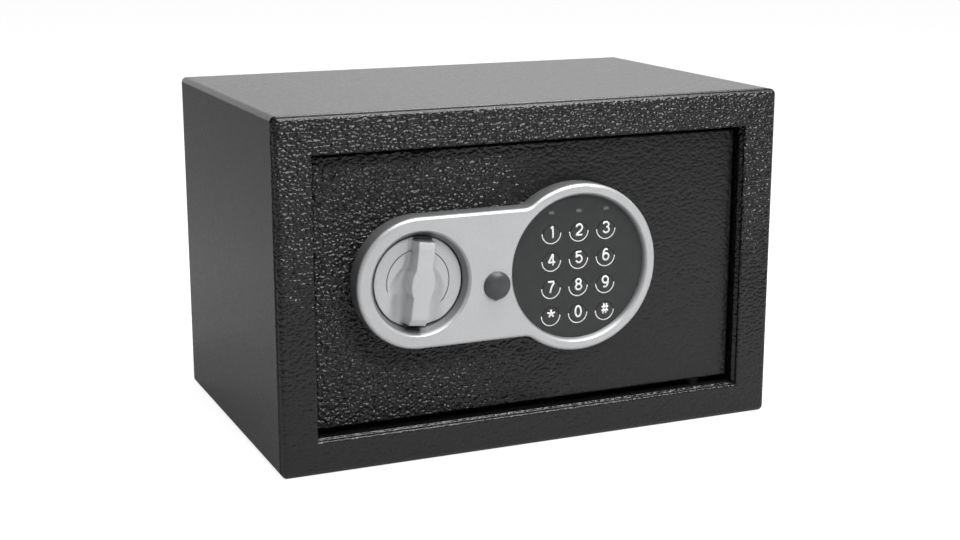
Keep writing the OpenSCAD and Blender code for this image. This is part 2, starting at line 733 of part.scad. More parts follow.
module spindle() color("silver") difference() {
    bar_y(knob_x, fit_z, door_y - knob_face + 1.5, crank_y + crank_t + 2, spindle_r);
    bar_y(knob_x, fit_z, crank_y + crank_t - 7, crank_y + crank_t + 3, 2);
}

module crank() color("#8f9092") translate([knob_x, 0, fit_z]) rotate([0, knob_turn / 2, 0]) {
    slab(crank_y, crank_y + crank_t) difference() {
        union() {
            circle(spindle_r + 4);
            translate([-crank_pin_r - 2, 0]) square([2 * crank_pin_r + 4, crank_r]);
            translate([0, crank_r]) circle(crank_pin_r + 2);
        }
        circle(spindle_r);
    }
    bar_y(0, crank_r, crank_y, carriage_y + plate_t + 1.5, crank_pin_r);
}

module crank_screw() color("silver") {
    y = crank_y + crank_t;
    bar_y(knob_x, fit_z, y - 6, y + 2, 2);
    bar_y(knob_x, fit_z, y + 2, y + 4, spindle_r + 1.5);
}

// ---------- bolts and their carriage ----------

module bolt(z) translate([0, bolt_y, z]) rotate([0, 90, 0]) {
    translate([0, 0, bolt_tip_x + 1]) cylinder(r = bolt_r, h = carriage_x0 - bolt_tip_x - 1);
    translate([0, 0, bolt_tip_x]) cylinder(r1 = bolt_r - 1, r2 = bolt_r, h = 1);
    translate([0, 0, carriage_x0 - 0.1]) cylinder(r = rivet_r, h = plate_t + 1.6);
}

module upper_bolt() color("#d4d5d7") bolt(fit_z + bolt_rise);
module lower_bolt() color("#d4d5d7") bolt(fit_z - bolt_rise);

// a slot along X that the post at x fills at its left end while the bolts are drawn back
module post_slot(x, z) {
    r = post_r + loose_gap;
    translate([x, z]) circle(r);
    translate([x + bolt_travel, z]) circle(r);
    translate([x, z - r]) square([bolt_travel, 2 * r]);
}

module bolt_carriage() color("#a5a6a8") difference() {
    union() {
        slab(carriage_y, carriage_y + plate_t) difference() {
            union() {
                translate([carriage_x0, fit_z - carriage_rise])
                    square([carriage_x1 - carriage_x0, 2 * carriage_rise]);
                translate([carriage_x1 - 1, fit_z - carriage_rise + 2])
                    square([tongue_end - carriage_x1 + 1, tongue_top - fit_z + carriage_rise - 2]);
            }
            for (p = posts) post_slot(p[0], p[1]);
            // the slot that the crank's pin works in
            w = crank_pin_r + 0.25;
            low = crank_r * cos(knob_turn / 2) - w;
            translate([knob_x + bolt_travel / 2 - w, fit_z + low]) square([2 * w, crank_r + w - low]);
        }
        translate([carriage_x0, bolt_y - bolt_r, fit_z - carriage_rise])
            cube([plate_t, carriage_y - bolt_y + bolt_r + 0.1, 2 * carriage_rise]);
    }
    for (s = [-1, 1]) translate([carriage_x0 - 1, bolt_y, fit_z + s * bolt_rise]) rotate([0, 90, 0])
        cylinder(r = rivet_r, h = plate_t + 2);
}

module bolt_guide() color("#8f9092") difference() {
    low = fit_z - guide_rise;
    high = 2 * guide_rise;
    union() {
        translate([guide_x0, door_back, low]) cube([guide_t, bolt_y + bolt_r + 3 - door_back, high]);
        translate([door_x0 + 1, door_back, low]) cube([guide_x0 - door_x0 - 1, thin_t, high]);
    }
    for (s = [-1, 1]) translate([guide_x0 - 1, bolt_y, fit_z + s * bolt_rise]) rotate([0, 90, 0])
        cylinder(r = bolt_r + slide_gap, h = guide_t + 2);
}

module guide_posts() color("silver") for (p = posts) {
    head_y = carriage_y + plate_t + loose_gap;
    bar_y(p[0], p[1], door_back, head_y + 2, post_r);
    bar_y(p[0], p[1], head_y, head_y + 2, post_r + 2);
}

// ---------- inner cover, batteries and wiring ----------

// the inner cover seen from the front, drawn in by t
module cover_plan(t) translate([cover_x0 + t, cover_z0 + t])
    square([cover_x1 - cover_x0 - 2 * t, cover_z1 - cover_z0 - 2 * t]);

// the battery tray seen from the front, drawn in by t
module tray_plan(t) translate([tray_x0 + t, tray_z0 + t]) square([tray_w - 2 * t, tray_h - 2 * t]);

module inner_cover() color("#2f2f31") difference() {
    union() {
        slab(door_back, cover_y) difference() {
            cover_plan(0);
            cover_plan(thin_t);
        }
        slab(cover_y - thin_t, cover_y) cover_plan(0);
        // the four screw tabs
        for (z = cover_screw_z) {
            translate([cover_screw_x[0] - 5, door_back, z - cover_tab / 2])
                cube([cover_x0 - cover_screw_x[0] + 5.1, thin_t, cover_tab]);
            translate([cover_x1 - 0.1, door_back, z - cover_tab / 2])
                cube([cover_screw_x[1] - cover_x1 + 4.6, thin_t, cover_tab]);
        }
    }
    for (s = [-1, 1]) translate([cover_x0 - 1, bolt_y, fit_z + s * bolt_rise]) rotate([0, 90, 0])
        cylinder(r = bolt_r + 0.6, h = thin_t + 2);
    for (x = cover_screw_x, z = cover_screw_z)
        bar_y(x, z, door_back - 1, door_back + thin_t + 1, cover_screw_r + slide_gap);
    // the battery doorway and the reset button's hole
    slab(cover_y - thin_t - 1, cover_y + 1) tray_plan(tray_wall);
    bar_y(reset_x, reset_z, cover_y - thin_t - 1, cover_y + 1, reset_r + slide_gap);
}

module cover_screws() color("silver") for (x = cover_screw_x, z = cover_screw_z) {
    bar_y(x, z, door_y + 1.2, door_back + thin_t, cover_screw_r);
    bar_y(x, z, door_back + thin_t, door_back + thin_t + 2.2, 1.9 * cover_screw_r);
}

module battery_tray() color("#1f1f20") {
    slab(tray_y, cover_y - thin_t) difference() {
        tray_plan(0);
        tray_plan(tray_wall);
    }
    slab(tray_y, tray_y + tray_wall) tray_plan(0);
}

function cell_x(i) = tray_x0 + tray_wall + 0.5 + cell_pitch * (i + 0.5);

module batteries() color("#3f7f4a") for (i = [0:cells - 1]) translate([cell_x(i), cell_y, cell_z0]) {
    cylinder(r = cell_r, h = cell_l - 1);
    translate([0, 0, cell_l - 1.1]) cylinder(r = 2.7, h = 1.1);
}

module battery_contacts() color("silver") for (i = [0:cells - 1]) {
    plate = 0.5;
    wire = 0.4;
    turns = 3;
    z0 = tray_z0 + tray_wall;
    z1 = tray_z0 + tray_h - tray_wall;
    span = cell_z0 - z0 - plate - 2 * wire - 0.2;
    translate([cell_x(i) - 5, cell_y - 5, z0]) cube([10, 10, plate]);
    translate([cell_x(i) - 5, cell_y - 5, z1 - plate]) cube([10, 10, plate]);
    translate([cell_x(i), cell_y, z0 + plate + wire + 0.1]) coil(3, wire, turns, span / turns);
}

module battery_lid() color("#2f2f31") {
    lap = 1.5;
    edge = 0.4;
    slab(cover_y, cover_y + lid_t) tray_plan(-lap);
    slab(cover_y - thin_t, cover_y) tray_plan(tray_wall + edge);
}

module reset_switch() color("#2a2a2c") {
    depth = 9;
    y = cover_y - thin_t;
    difference() {
        slab(y - depth, y) translate([reset_x - 6, reset_z - 5]) square([12, 10]);
        bar_y(reset_x, reset_z, y - depth + 1, y + 1, reset_r + slide_gap);
    }
}

module reset_button() color("#b3241c")
    bar_y(reset_x, reset_z, cover_y - thin_t - 8 + reset_travel + 0.3, cover_y + 1.6, reset_r);

module wiring() color("#a33a2c") {
    board_y = door_y - (mat_top - mat_sheet_t - board_t);
    side_y = plunger_y - 3;
    turn_x = pad_x - 6 - wire_bend;
    bar_y(wire_x, wire_z, board_y, tray_y, wire_r);
    bar_y(pad_x - 6, wire_z, board_y, side_y - wire_bend, wire_r);
    translate([turn_x, side_y - wire_bend, wire_z]) rotate_extrude(angle = 90)
        translate([wire_bend, 0]) circle(wire_r);
    translate([plunger_x + frame_half, side_y, wire_z]) rotate([0, 90, 0])
        cylinder(r = wire_r, h = turn_x - plunger_x - frame_half);
}

// ---------- every piece by its name ----------

body_shell();
front_frame();
back_panel();
hinge_bracket_lower();
hinge_bracket_upper();
hinge_pin_lower();
hinge_pin_upper();
hinge_washer();
door_stops();
floor_mat();
door_panel();
hinge_ear_lower();
hinge_ear_upper();
bezel();
bezel_screws();
keypad_plate();
status_windows();
key_mat();
keypad_board();
keypad_screws();
lock_housing();
lock_nut();
solenoid_bracket();
solenoid_frame();
solenoid_coil();
bolt_guide();
guide_posts();
inner_cover();
cover_screws();
battery_tray();
batteries();
battery_contacts();
wiring();
reset_switch();
knob();
spindle();
crank();
crank_screw();
bolt_carriage();
upper_bolt();
lower_bolt();
plunger();
plunger_spring();
lock_core();
lock_cam();
keyhole_plug();
battery_lid();
reset_button();
for (i = [0:11]) key(i);
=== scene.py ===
import math

import bpy
import numpy as np
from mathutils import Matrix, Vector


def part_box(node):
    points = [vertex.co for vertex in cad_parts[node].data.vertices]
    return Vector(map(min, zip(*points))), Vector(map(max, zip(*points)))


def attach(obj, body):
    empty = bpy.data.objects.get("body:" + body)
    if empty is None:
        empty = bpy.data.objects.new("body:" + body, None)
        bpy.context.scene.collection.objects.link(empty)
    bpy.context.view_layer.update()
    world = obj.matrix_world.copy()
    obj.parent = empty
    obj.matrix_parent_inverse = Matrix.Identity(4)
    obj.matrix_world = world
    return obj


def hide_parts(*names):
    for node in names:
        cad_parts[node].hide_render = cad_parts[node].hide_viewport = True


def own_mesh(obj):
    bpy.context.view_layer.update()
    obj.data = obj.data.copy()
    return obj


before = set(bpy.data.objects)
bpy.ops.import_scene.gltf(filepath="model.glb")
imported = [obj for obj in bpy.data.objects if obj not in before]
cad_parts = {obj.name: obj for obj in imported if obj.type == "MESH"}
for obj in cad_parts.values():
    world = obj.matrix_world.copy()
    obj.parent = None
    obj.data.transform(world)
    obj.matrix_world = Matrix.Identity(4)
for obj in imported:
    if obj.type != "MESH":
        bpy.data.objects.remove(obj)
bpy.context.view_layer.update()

bl_info = {
    "name": "Small electronic safe",
    "version": (1, 0, 0),
    "blender": (4, 5, 0),
    "location": "View3D > Sidebar > Safe",
    "description": "Paints the safe, prints its keypad, lays its floor mat and sets up the studio",
    "category": "Object",
}

MM = 0.001
SIGNS = ("1", "2", "3", "4", "5", "6", "7", "8", "9", "star", "0", "hash")
KEYS = ["key_" + sign for sign in SIGNS]
SIGN_HEIGHT = 6.8  # height of the box that glyphs() draws in
GRIP_LEAN = 7.0  # degrees that the knob's grip leans to the right
CAMERA_SPOT = (-0.3921, -0.9129, 0.3181)
CAMERA_DOWN, CAMERA_RIGHT = 13.34, 23.57  # degrees that it looks down and turns to the right


def centre_of(node):
    """The middle of a node's box."""
    low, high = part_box(node)
    return (low + high) / 2


# ---------- values that a user may change ----------


def length(name, about, default, low, high):
    """A distance in metres that the sidebar shows."""
    return bpy.props.FloatProperty(
        name=name, description=about, default=default, min=low, max=high,
        unit="LENGTH", subtype="DISTANCE", precision=5)


def share(name, about, default):
    """A part of one that the sidebar shows as a slider."""
    return bpy.props.FloatProperty(
        name=name, description=about, default=default, min=0, max=1, subtype="FACTOR")


def colour(name, about, default):
    """A colour that the sidebar shows."""
    return bpy.props.FloatVectorProperty(
        name=name, description=about, default=default, min=0, max=1, size=3, subtype="COLOR")


class SafeCoat(bpy.types.PropertyGroup):
    black: colour("Black", "Colour of the powder coat", (0.0062, 0.0062, 0.0066))
    pebble: length("Pebble", "Size of one pebble of the textured coat", 0.0018, 0.0003, 0.005)
    grain: length("Grain", "Size of the finer grain on the top and sides", 0.0008, 0.0003, 0.005)
    relief: share("Relief", "How deep the pebbles look", 1.0)
    roughness: share("Roughness", "Roughness of the powder coat", 0.27)


class SafeFittings(bpy.types.PropertyGroup):
    silver: colour("Silver", "Colour of the escutcheon and the knob", (0.56, 0.565, 0.575))
    face: colour("Keypad face", "Colour of the keypad's face", (0.030, 0.031, 0.032))
    key: colour("Keys", "Colour of the keys", (0.034, 0.035, 0.036))
    print: colour("Print", "Colour of the digits and arcs", (0.86, 0.86, 0.85))
    rubber: colour("Plug", "Colour of the keyhole plug", (0.058, 0.060, 0.063))
    digit_height: length("Digit height", "Height of a digit", 0.0069, 0.003, 0.009)
    digit_stroke: length("Digit stroke", "Width of the digits' lines", 0.0011, 0.0002, 0.002)
    arc_stroke: length("Arc stroke", "Width of the arcs' lines", 0.00062, 0.0002, 0.002)
    arc_radius: length("Arc radius", "Radius of the arc under a key", 0.0059, 0.0056, 0.0078)
    groove: length("Groove", "Radius of the groove round the knob's face", 0.0185, 0.015, 0.022)
    ink: length("Ink", "Thickness of the print", 0.00004, 0.00001, 0.0003)


class SafeInside(bpy.types.PropertyGroup):
    felt: colour("Felt", "Colour of the floor mat", (0.030, 0.031, 0.034))
    mat_thickness: length("Mat thickness", "Thickness of the floor mat", 0.0019, 0.0005, 0.004)
    mat_hole: length("Mat hole", "Radius of the holes over the anchor holes", 0.011, 0.005, 0.02)
    zinc: colour("Zinc", "Colour of the plated pressings", (0.60, 0.60, 0.58))
    spring_wire: length(
        "Spring wire", "Thickness of the plunger spring's wire", 0.0008, 0.0004, 0.0012)
    steel: colour("Steel", "Colour of the bare steel", (0.58, 0.57, 0.56))


class SafeStudio(bpy.types.PropertyGroup):
    overhead: bpy.props.FloatProperty(
        name="Overhead lamp", description="Power of the softbox over the safe",
        default=8.0, min=0, max=200, unit="POWER")
    front: bpy.props.FloatProperty(
        name="Front lamp", description="Power of the softbox before the safe",
        default=11.5, min=0, max=200, unit="POWER")
    rear: bpy.props.FloatProperty(
        name="Rear lamp", description="Power of the softbox behind the safe",
        default=6.0, min=0, max=200, unit="POWER")
    sky: bpy.props.FloatProperty(
        name="Sky", description="Strength of the even light from all round",
        default=0.24, min=0, max=2)
    wall: share("Room", "How bright the room round the backdrop is", 0.06)
    lens: bpy.props.FloatProperty(
        name="Lens", description="Focal length of the camera", default=61.0, min=20, max=200,
        unit="CAMERA")


# ---------- shapes ----------


def settings():
    """The scene, which holds the groups of values above."""
    return bpy.context.scene


def put(name, points, faces, body, material, slot, smooth=True):
    """A mesh object from whole arrays of corners and faces, riding on a body.

    faces is one array, or a list of arrays whose faces have different numbers of corners.
    """
    blocks = faces if isinstance(faces, list) else [faces]
    mesh = bpy.data.meshes.new(name)
    mesh.from_pydata(points.tolist(), [], [face for block in blocks for face in block.tolist()])
    mesh.polygons.foreach_set("use_smooth", np.full(len(mesh.polygons), smooth))
    mesh.materials.append(material)
    mesh.update()
    piece = bpy.data.objects.new(name, mesh)
    bpy.context.collection.objects.link(piece)
    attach(piece, body)
    return piece


def tube_faces(rings, around, first=0):
    """Quads between each ring of `around` corners and the next, and a cap on both ends."""
    ring = np.arange(rings - 1)[:, None] * around
    step = np.arange(around)[None, :]
    turn = (step + 1) % around
    a, b = ring + step, ring + turn
    sides = np.stack([a, b, b + around, a + around], axis=-1).reshape(-1, 4)
    last = (rings - 1) * around
    caps = np.array([[3, 2, 1, 0], [last, last + 1, last + 2, last + 3]])
    return np.vstack([sides, caps]) + first


def raised_line(path, width, height, seat, closed=False):
    """A flat line of ink laid along a path.

    At each point of the path the section is a rectangle: half the width to either side along the
    path's normal, a fifth of its height in the seat and four fifths before it. seat(x, z) is the
    depth of the surface under a point, and outwards is towards smaller y. A closed path ends
    beside its start, without repeating it.
    """
    sunk = 0.2
    ahead = np.roll(path, -1, axis=0) - np.roll(path, 1, axis=0)
    if not closed:
        ahead[0], ahead[-1] = path[1] - path[0], path[-1] - path[-2]
    ahead /= np.linalg.norm(ahead, axis=1)[:, None]
    side = np.stack([-ahead[:, 1], ahead[:, 0]], axis=1) * width / 2
    left, right = path + side, path - side
    flat = np.stack([left, right, right, left], axis=1)
    lift = np.array([0.0, 0.0, height, height]) - sunk * height
    depth = seat(flat[..., 0], flat[..., 1]) - lift
    corners = np.stack([flat[..., 0], depth, flat[..., 1]], axis=-1).reshape(-1, 3)
    rings = len(path)
    faces = tube_faces(rings, 4)
    if closed:
        a = (rings - 1) * 4 + np.arange(4)
        b = (rings - 1) * 4 + (np.arange(4) + 1) % 4
        faces = np.vstack([faces[:-2], np.stack([a, b, b % 4, a % 4], axis=1)])
    return corners, faces


def grid_quads(rows, columns):
    """The corner numbers of a grid as an array, and its quads, counted along the rows."""
    index = np.arange(rows * columns).reshape(rows, columns)
    quads = np.stack([index[:-1, :-1], index[:-1, 1:], index[1:, 1:], index[1:, :-1]], axis=-1)
    return index, quads.reshape(-1, 4)


def joined(parts):
    """One array of corners and one of faces from several."""
    start = np.cumsum([0] + [len(p) for p, _ in parts])[:-1]
    return (np.vstack([p for p, _ in parts]),
            np.vstack([f + s for (_, f), s in zip(parts, start)]))


def arc(x, z, rx, rz, start, end, steps=28):
    """Points at even angles on an ellipse of half axes rx and rz about (x, z), in degrees."""
    a = np.radians(np.linspace(start, end, steps))
    return np.stack([x + rx * np.cos(a), z + rz * np.sin(a)], axis=1)


def line(*points, steps=6):
    """Points at even shares along each leg of a bent line."""
    corners = np.array(points, float)
    legs = [np.linspace(a, b, steps, endpoint=False) for a, b in zip(corners[:-1], corners[1:])]
    return np.vstack(legs + [corners[-1:]])


def glyphs():
    """The strokes of each sign, in a box 4 wide and SIGN_HEIGHT high about its middle."""
    rays = [line((0, 0.4), (2.3 * math.sin(a), 0.4 + 2.3 * math.cos(a)), steps=3)
            for a in np.radians([0, 72, 144, 216, 288])]
    six = [arc(0, -1.15, 1.6, 1.9, 90, 450, 44), arc(0.25, -0.7, 1.85, 3.75, 186, 62, 30)]
    return {
        "1": [line((0.5, -3.4), (0.5, 3.4)), arc(-1.5, 3.9, 2.1, 2.0, -65, -20, 10)],
        "2": [np.vstack([arc(0.05, 1.35, 1.6, 1.7, 172, -28, 26),
                         line((0.85, -0.45), (-1.1, -2.0), (-1.65, -2.9))]),
              line((-1.95, -3.0), (1.75, -3.0))],
        "3": [arc(-0.1, 1.55, 1.45, 1.5, 165, -90, 30), arc(-0.1, -1.45, 1.65, 1.6, 90, -168, 34)],
        "4": [line((0.7, -3.4), (0.7, 3.3), steps=12),
              line((0.7, 3.0), (-1.75, -1.3)), line((-2.0, -1.5), (2.0, -1.5))],
        "5": [line((1.55, 3.0), (-1.15, 3.0)), line((-1.15, 3.3), (-1.5, -0.35)),
              arc(0, -1.05, 1.65, 2.0, 150, -160, 36)],
        "6": six,
        "7": [line((-1.8, 3.0), (1.75, 3.0)), arc(5.2, -3.6, 5.8, 7.4, 126, 178, 20)],
        "8": [arc(0, 1.6, 1.35, 1.4, 90, 450, 36), arc(0, -1.4, 1.65, 1.6, 90, 450, 40)],
        "9": [-s for s in six],
        "0": [arc(0, 0, 1.6, 3.0, 90, 450, 48)],
        "star": rays,
        "hash": [line((-0.35, 2.9), (-1.15, -2.9)), line((1.15, 2.9), (0.35, -2.9)),
                 line((-1.9, 1.05), (1.95, 1.05)), line((-1.95, -1.05), (1.9, -1.05))],
    }


def loop_strips(loop, rings, first):
    """Faces that join a loop of corners to `rings` further loops, and a fan to one last corner.

    The further loops follow one another from the corner `first` on, each as long as the loop, and
    the last corner follows them. Seen from outside, the loop runs the other way round to a clock.
    """
    count = len(loop)
    chain = np.vstack([loop, first + np.arange(rings * count).reshape(rings, count)])
    after = np.roll(chain, -1, axis=1)
    tip = np.full(count, first + rings * count)
    return [np.stack([chain[:-1], chain[1:], after[1:], after[:-1]], axis=-1).reshape(-1, 4),
            np.stack([chain[-1], tip, after[-1]], axis=-1)]


def start_fan(around, tip):
    """The faces that close the first ring of corners with one corner, numbered tip."""
    loop = np.arange(around)
    return np.stack([loop, np.roll(loop, -1), np.full(around, tip)], axis=-1)


def knob_surface():
    """The knob about its own axis: across, along the grip, and out from the door, in millimetres.

    The grip is half a width b(v) to either side of its middle line, where v runs along it: 4.3,
    and up to 6.1 at the hub. Its flank leaves the top in an arc of 0.6, falls at a draft of 7
    degrees and meets the ground in an arc of 1.0 to 3.8. The ground is the flat face less a finger
    scoop, whose depth is d(v) at the foot of the flank and fades outwards over w(v) as
    (1 - t ** 2) ** 3. Both d and w grow from the grip's top to its lower half. The grip's crown
    slopes down by 0.8 over its upper end and by 2.4 over its lower end, and then drops to the
    ground. Behind its rounded edge the knob is a disc with a bored hub on its back.
    """
    face, top, back, radius, edge = 7.0, 15.0, 3.3, 25.95, 0.45
    slim, hub_swell, hub_reach = 4.3, 1.8, 7.2
    shallow, deepening, hub_dip, hub_dip_reach = 0.5, 2.0, 0.6, 5.0
    narrow, widening, turns_at, turns_over = 2.0, 7.0, 3.0, 4.5
    slope_from, slope_over, upper_slope, lower_slope = 19.6, 4.1, 0.8, 2.4
    drop_from, drop_over = 23.6, 1.0
    top_arc, foot_arc, foot_arc_swell, full_height = 0.6, 1.0, 2.8, 5.4
    rows, inner, arc_steps, wall_steps, outer = 181, 4, 6, 5, 22

    # along the grip: its half width, the scoops beside it, its crown and the ground
    reach = radius - edge
    v = (reach * np.sin(np.linspace(-1.48, 1.48, rows)))[:, None]
    chord = np.sqrt(reach ** 2 - v ** 2)
    hub = np.clip(1 - (np.abs(v) / hub_reach) ** 2.4, 0, 1) ** 0.8
    b = np.minimum(slim + hub_swell * hub, 0.5 * chord)
    low = 1 / (1 + np.exp((v - turns_at) / turns_over))
    depth = shallow + deepening * low + hub_dip * np.exp(-(v / hub_dip_reach) ** 2)
    wide = narrow + widening * low
    ends = np.clip((np.abs(v) - slope_from) / slope_over, 0, 1)
    fall = np.clip((np.abs(v) - drop_from) / drop_over, 0, 1)
    crown = top - np.where(v > 0, upper_slope, lower_slope) * ends ** 1.25
    ground = face - depth
    crown = crown + (ground - crown) * fall ** 2 * (3 - 2 * fall)
    height = np.maximum(crown - ground, 0.02)

    # the flank: an arc, a drafted wall and an arc, with smaller arcs where the grip is low
    small = np.minimum(1, height / full_height)
    r1, r2 = top_arc * small, (foot_arc + foot_arc_swell * low) * small
    slope = math.radians(83)
    turn = np.linspace(0, slope, arc_steps)[None, :]
    s1, h1 = r1 * np.sin(turn), height - r1 * (1 - np.cos(turn))
    h2 = r2 * (1 - np.cos(turn[:, ::-1]))
    foot = s1[:, -1:] + (h1[:, -1:] - h2[:, :1]) / math.tan(slope) + r2 * math.sin(slope)
    s2 = foot - r2 * np.sin(turn[:, ::-1])
    share_of = np.linspace(0, 1, wall_steps + 2)[None, 1:-1]
    sw = s1[:, -1:] + (s2[:, :1] - s1[:, -1:]) * share_of
    hw = h1[:, -1:] + (h2[:, :1] - h1[:, -1:]) * share_of
    flank, rise = np.hstack([s1, sw, s2]), np.hstack([h1, hw, h2])
    flank = flank * np.minimum(1, 0.8 * (chord - b) / foot)

    # the ground from the flank's foot to the rim, then both halves as one grid
    foot = flank[:, -1:]
    out = np.linspace(0, 1, outer + 1)[None, 1:] ** 1.3
    ground_s = foot + (chord - b - foot) * out
    away = np.clip((ground_s - foot) / wide, 0, 1)
    ground_h = depth * (1 - (1 - away ** 2) ** 3)
    half_u = np.hstack([b * np.linspace(0, 1, inner + 1)[None, :-1], b + flank, b + ground_s])
    half_h = ground + np.hstack([np.repeat(height, inner, axis=1), rise, ground_h])
    u = np.hstack([-half_u[:, :0:-1], half_u])
    h = np.hstack([half_h[:, :0:-1], half_h])
    columns = u.shape[1]
    grid = np.stack([u, np.repeat(v, columns, axis=1), h], axis=-1).reshape(-1, 3)
    index, quads = grid_quads(rows, columns)

    # loops about the grid's outline: the rounded rim, the back and the hub's bore
    loop = np.concatenate([index[0, :-1], index[:-1, -1], index[-1, :0:-1], index[:0:-1, 0]])
    rim = grid[loop]
    length_out = np.linalg.norm(rim[:, :2], axis=1, keepdims=True)
    unit = rim[:, :2] / length_out
    a = np.radians([30, 60, 90])[:, None, None]
    rounded = np.concatenate([unit + 0 * a, rim[None, :, 2:] + 0 * a], axis=-1)
    rounded[..., :2] *= length_out + edge * np.sin(a)
    rounded[..., 2:] -= edge * (1 - np.cos(a))
    behind = [(length_out + edge, back), (7.5, back), (7.5, 0.5), (4.0, 0.5), (4.0, 5.5)]
    behind = [np.hstack([unit * r, np.full_like(length_out, z)]) for r, z in behind]
    rings = np.concatenate([rounded, np.array(behind)])
    points = np.vstack([grid, rings.reshape(-1, 3), [[0, 0, 5.5]]])
    return points, [quads] + loop_strips(loop, len(rings), len(grid))


def plug_surface():
    """The keyhole plug about its own axis, in millimetres: a dome on a collar, with a small nub.

    The dome's height over its rim is 3 (1 - (r / 8.1) ** 2.3) ** 0.62. At the lower side of the
    rim a bell-shaped rise of 0.6 in the radius makes the nub that a fingernail lifts.
    """
    around, cap, rim, rise, seat, collar, depth = 96, 8.1, 0.39, 3.0, 12.5, 6.7, 4.0
    nub_at, nub_rise, nub_width = math.radians(265), 0.6, 0.12
    r = cap * np.sin(np.linspace(0, math.pi / 2, 22)[1:])
    dome = np.stack([r, seat + rim + rise * (1 - (r / cap) ** 2.3) ** 0.62], axis=1)
    foot = np.array([[cap, seat + 0.02], [collar, seat + 0.02], [collar, seat - depth]])
    profile = np.vstack([dome, foot])
    angle = np.linspace(0, 2 * math.pi, around, endpoint=False)
    off = (angle - nub_at + math.pi) % (2 * math.pi) - math.pi
    nub = nub_rise * np.exp(-(off / nub_width) ** 2)
    nearness = np.clip((profile[:, :1] - collar) / (cap - collar), 0, 1) ** 2
    radius = profile[:, :1] + nearness * nub
    rings = np.stack([radius * np.cos(angle), radius * np.sin(angle),
                      np.repeat(profile[:, 1:], around, axis=1)], axis=-1)
    points = np.vstack([rings.reshape(-1, 3), [[0, 0, seat - depth], [0, 0, seat + rim + rise]]])
    faces = loop_strips(np.arange(around), len(profile) - 1, around)
    return points, faces + [start_fan(around, len(points) - 1)]


def spring_surface(low, high, wire):
    """A coil spring along z between two corners of a box, as one round wire with closed ends.

    The wire's middle runs on a circle by an even angle. It rises by t - 0.7 sin(2 pi t) / (2 pi)
    of the height, where t is the share of the angle, so that the end turns lie nearly flat.
    """
    turns, steps, around, ease = 5.0, 141, 10, 0.7
    centre = (low + high) / 2
    radius = (high[0] - low[0]) / 2 - wire
    t = np.linspace(0, 1, steps)
    eased = t - ease * np.sin(2 * math.pi * t) / (2 * math.pi)
    angle = 2 * math.pi * turns * t
    across = np.stack([np.cos(angle), np.sin(angle), 0 * angle], axis=1)
    z = low[2] + wire + (high[2] - low[2] - 2 * wire) * eased
    path = radius * across + np.stack([centre[0] + 0 * z, centre[1] + 0 * z, z], axis=1)
    turn = np.linspace(0, 2 * math.pi, around, endpoint=False)
    rings = (path[:, None] + wire * (np.cos(turn)[None, :, None] * across[:, None]
             + np.sin(turn)[None, :, None] * np.array([0, 0, 1.0])))
    points = np.vstack([rings.reshape(-1, 3), path[-1:], path[:1]])
    faces = loop_strips(np.arange(around), steps - 1, around)
    return points, faces + [start_fan(around, len(points) - 1)]


def mat_surface(low, width, depth, thickness, hole_radius):
    """The mat's upper side: a grid in the mat's box, open over both anchor holes.

    A grid corner that lies just inside a hole is drawn straight out to the hole's edge, and the
    faces further inside are left out. The height is the thickness less 0.16 mm, and two ripples:
    0.1 mm times sin(61 x + 1.3) sin(47 y + 0.4), and 0.05 mm times sin(173 x + 131 y).
    """
    anchors = np.array([[-0.09, 0.0], [0.09, 0.0]])
    columns, rows, sunk = 121, 69, 0.00016
    u, v = np.meshgrid(np.linspace(0, 1, columns), np.linspace(0, 1, rows))
    flat = np.stack([low.x + width * u, low.y + depth * v], axis=-1).reshape(-1, 2)
    quads = grid_quads(rows, columns)[1]
    for anchor in anchors:
        away = flat - anchor
        far = np.linalg.norm(away, axis=1)
        inside = far < hole_radius
        quads = quads[~inside[quads].all(axis=1)]
        rim = np.zeros(len(flat), bool)
        rim[quads[inside[quads].any(axis=1)]] = True
        rim &= inside
        flat[rim] = anchor + away[rim] / far[rim][:, None] * hole_radius
    used = np.unique(quads)
    order = np.full(len(flat), -1)
    order[used] = np.arange(len(used))
    x, y = flat[used].T
    ripple = (0.00010 * np.sin(x * 61 + 1.3) * np.sin(y * 47 + 0.4)
              + 0.00005 * np.sin(x * 173 + y * 131))
    height = low.z + thickness - sunk + ripple
    return np.stack([x, y, height], axis=1), order[quads]


def on_door(points, centre, lean=0.0):
    """Points about an axis, in millimetres, turned by lean and set in place before the door."""
    across, along, out = points.T * MM
    turn = math.radians(lean)
    door_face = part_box("door_panel")[0].y
    return np.stack([centre.x + across * math.cos(turn) + along * math.sin(turn), door_face - out,
                     centre.z - across * math.sin(turn) + along * math.cos(turn)], axis=1)


# ---------- materials ----------


class Nodes:
    """A node tree that nodes are added to one by one."""

    def __init__(self, tree):
        self.tree = tree

    def set(self, node, values):
        """Gives sockets, by name or number, a value or a link."""
        for key, value in values.items():
            socket = node.inputs[key.replace("_", " ") if isinstance(key, str) else key]
            if isinstance(value, bpy.types.NodeSocket):
                self.tree.links.new(value, socket)
            elif socket.type == "RGBA" and len(value) == 3:
                socket.default_value = (*value, 1)
            else:
                socket.default_value = value

    def add(self, kind, options=(), **inputs):
        """A new node with these options and inputs; _ stands for a space in an input's name."""
        node = self.tree.nodes.new(kind)
        for key, value in dict(options).items():
            setattr(node, key, value)
        self.set(node, inputs)
        return node

    def math(self, operation, a, b=0.0):
        """One sum on two values or links."""
        node = self.add("ShaderNodeMath", {"operation": operation})
        self.set(node, {0: a, 1: b})
        return node.outputs[0]

    def fade(self, value, none, full):
        """Nought at `none`, one at `full`, and a soft step between them."""
        node = self.add("ShaderNodeMapRange", {"interpolation_type": "SMOOTHSTEP"}, Value=value,
                        From_Min=none, From_Max=full)
        return node.outputs["Result"]


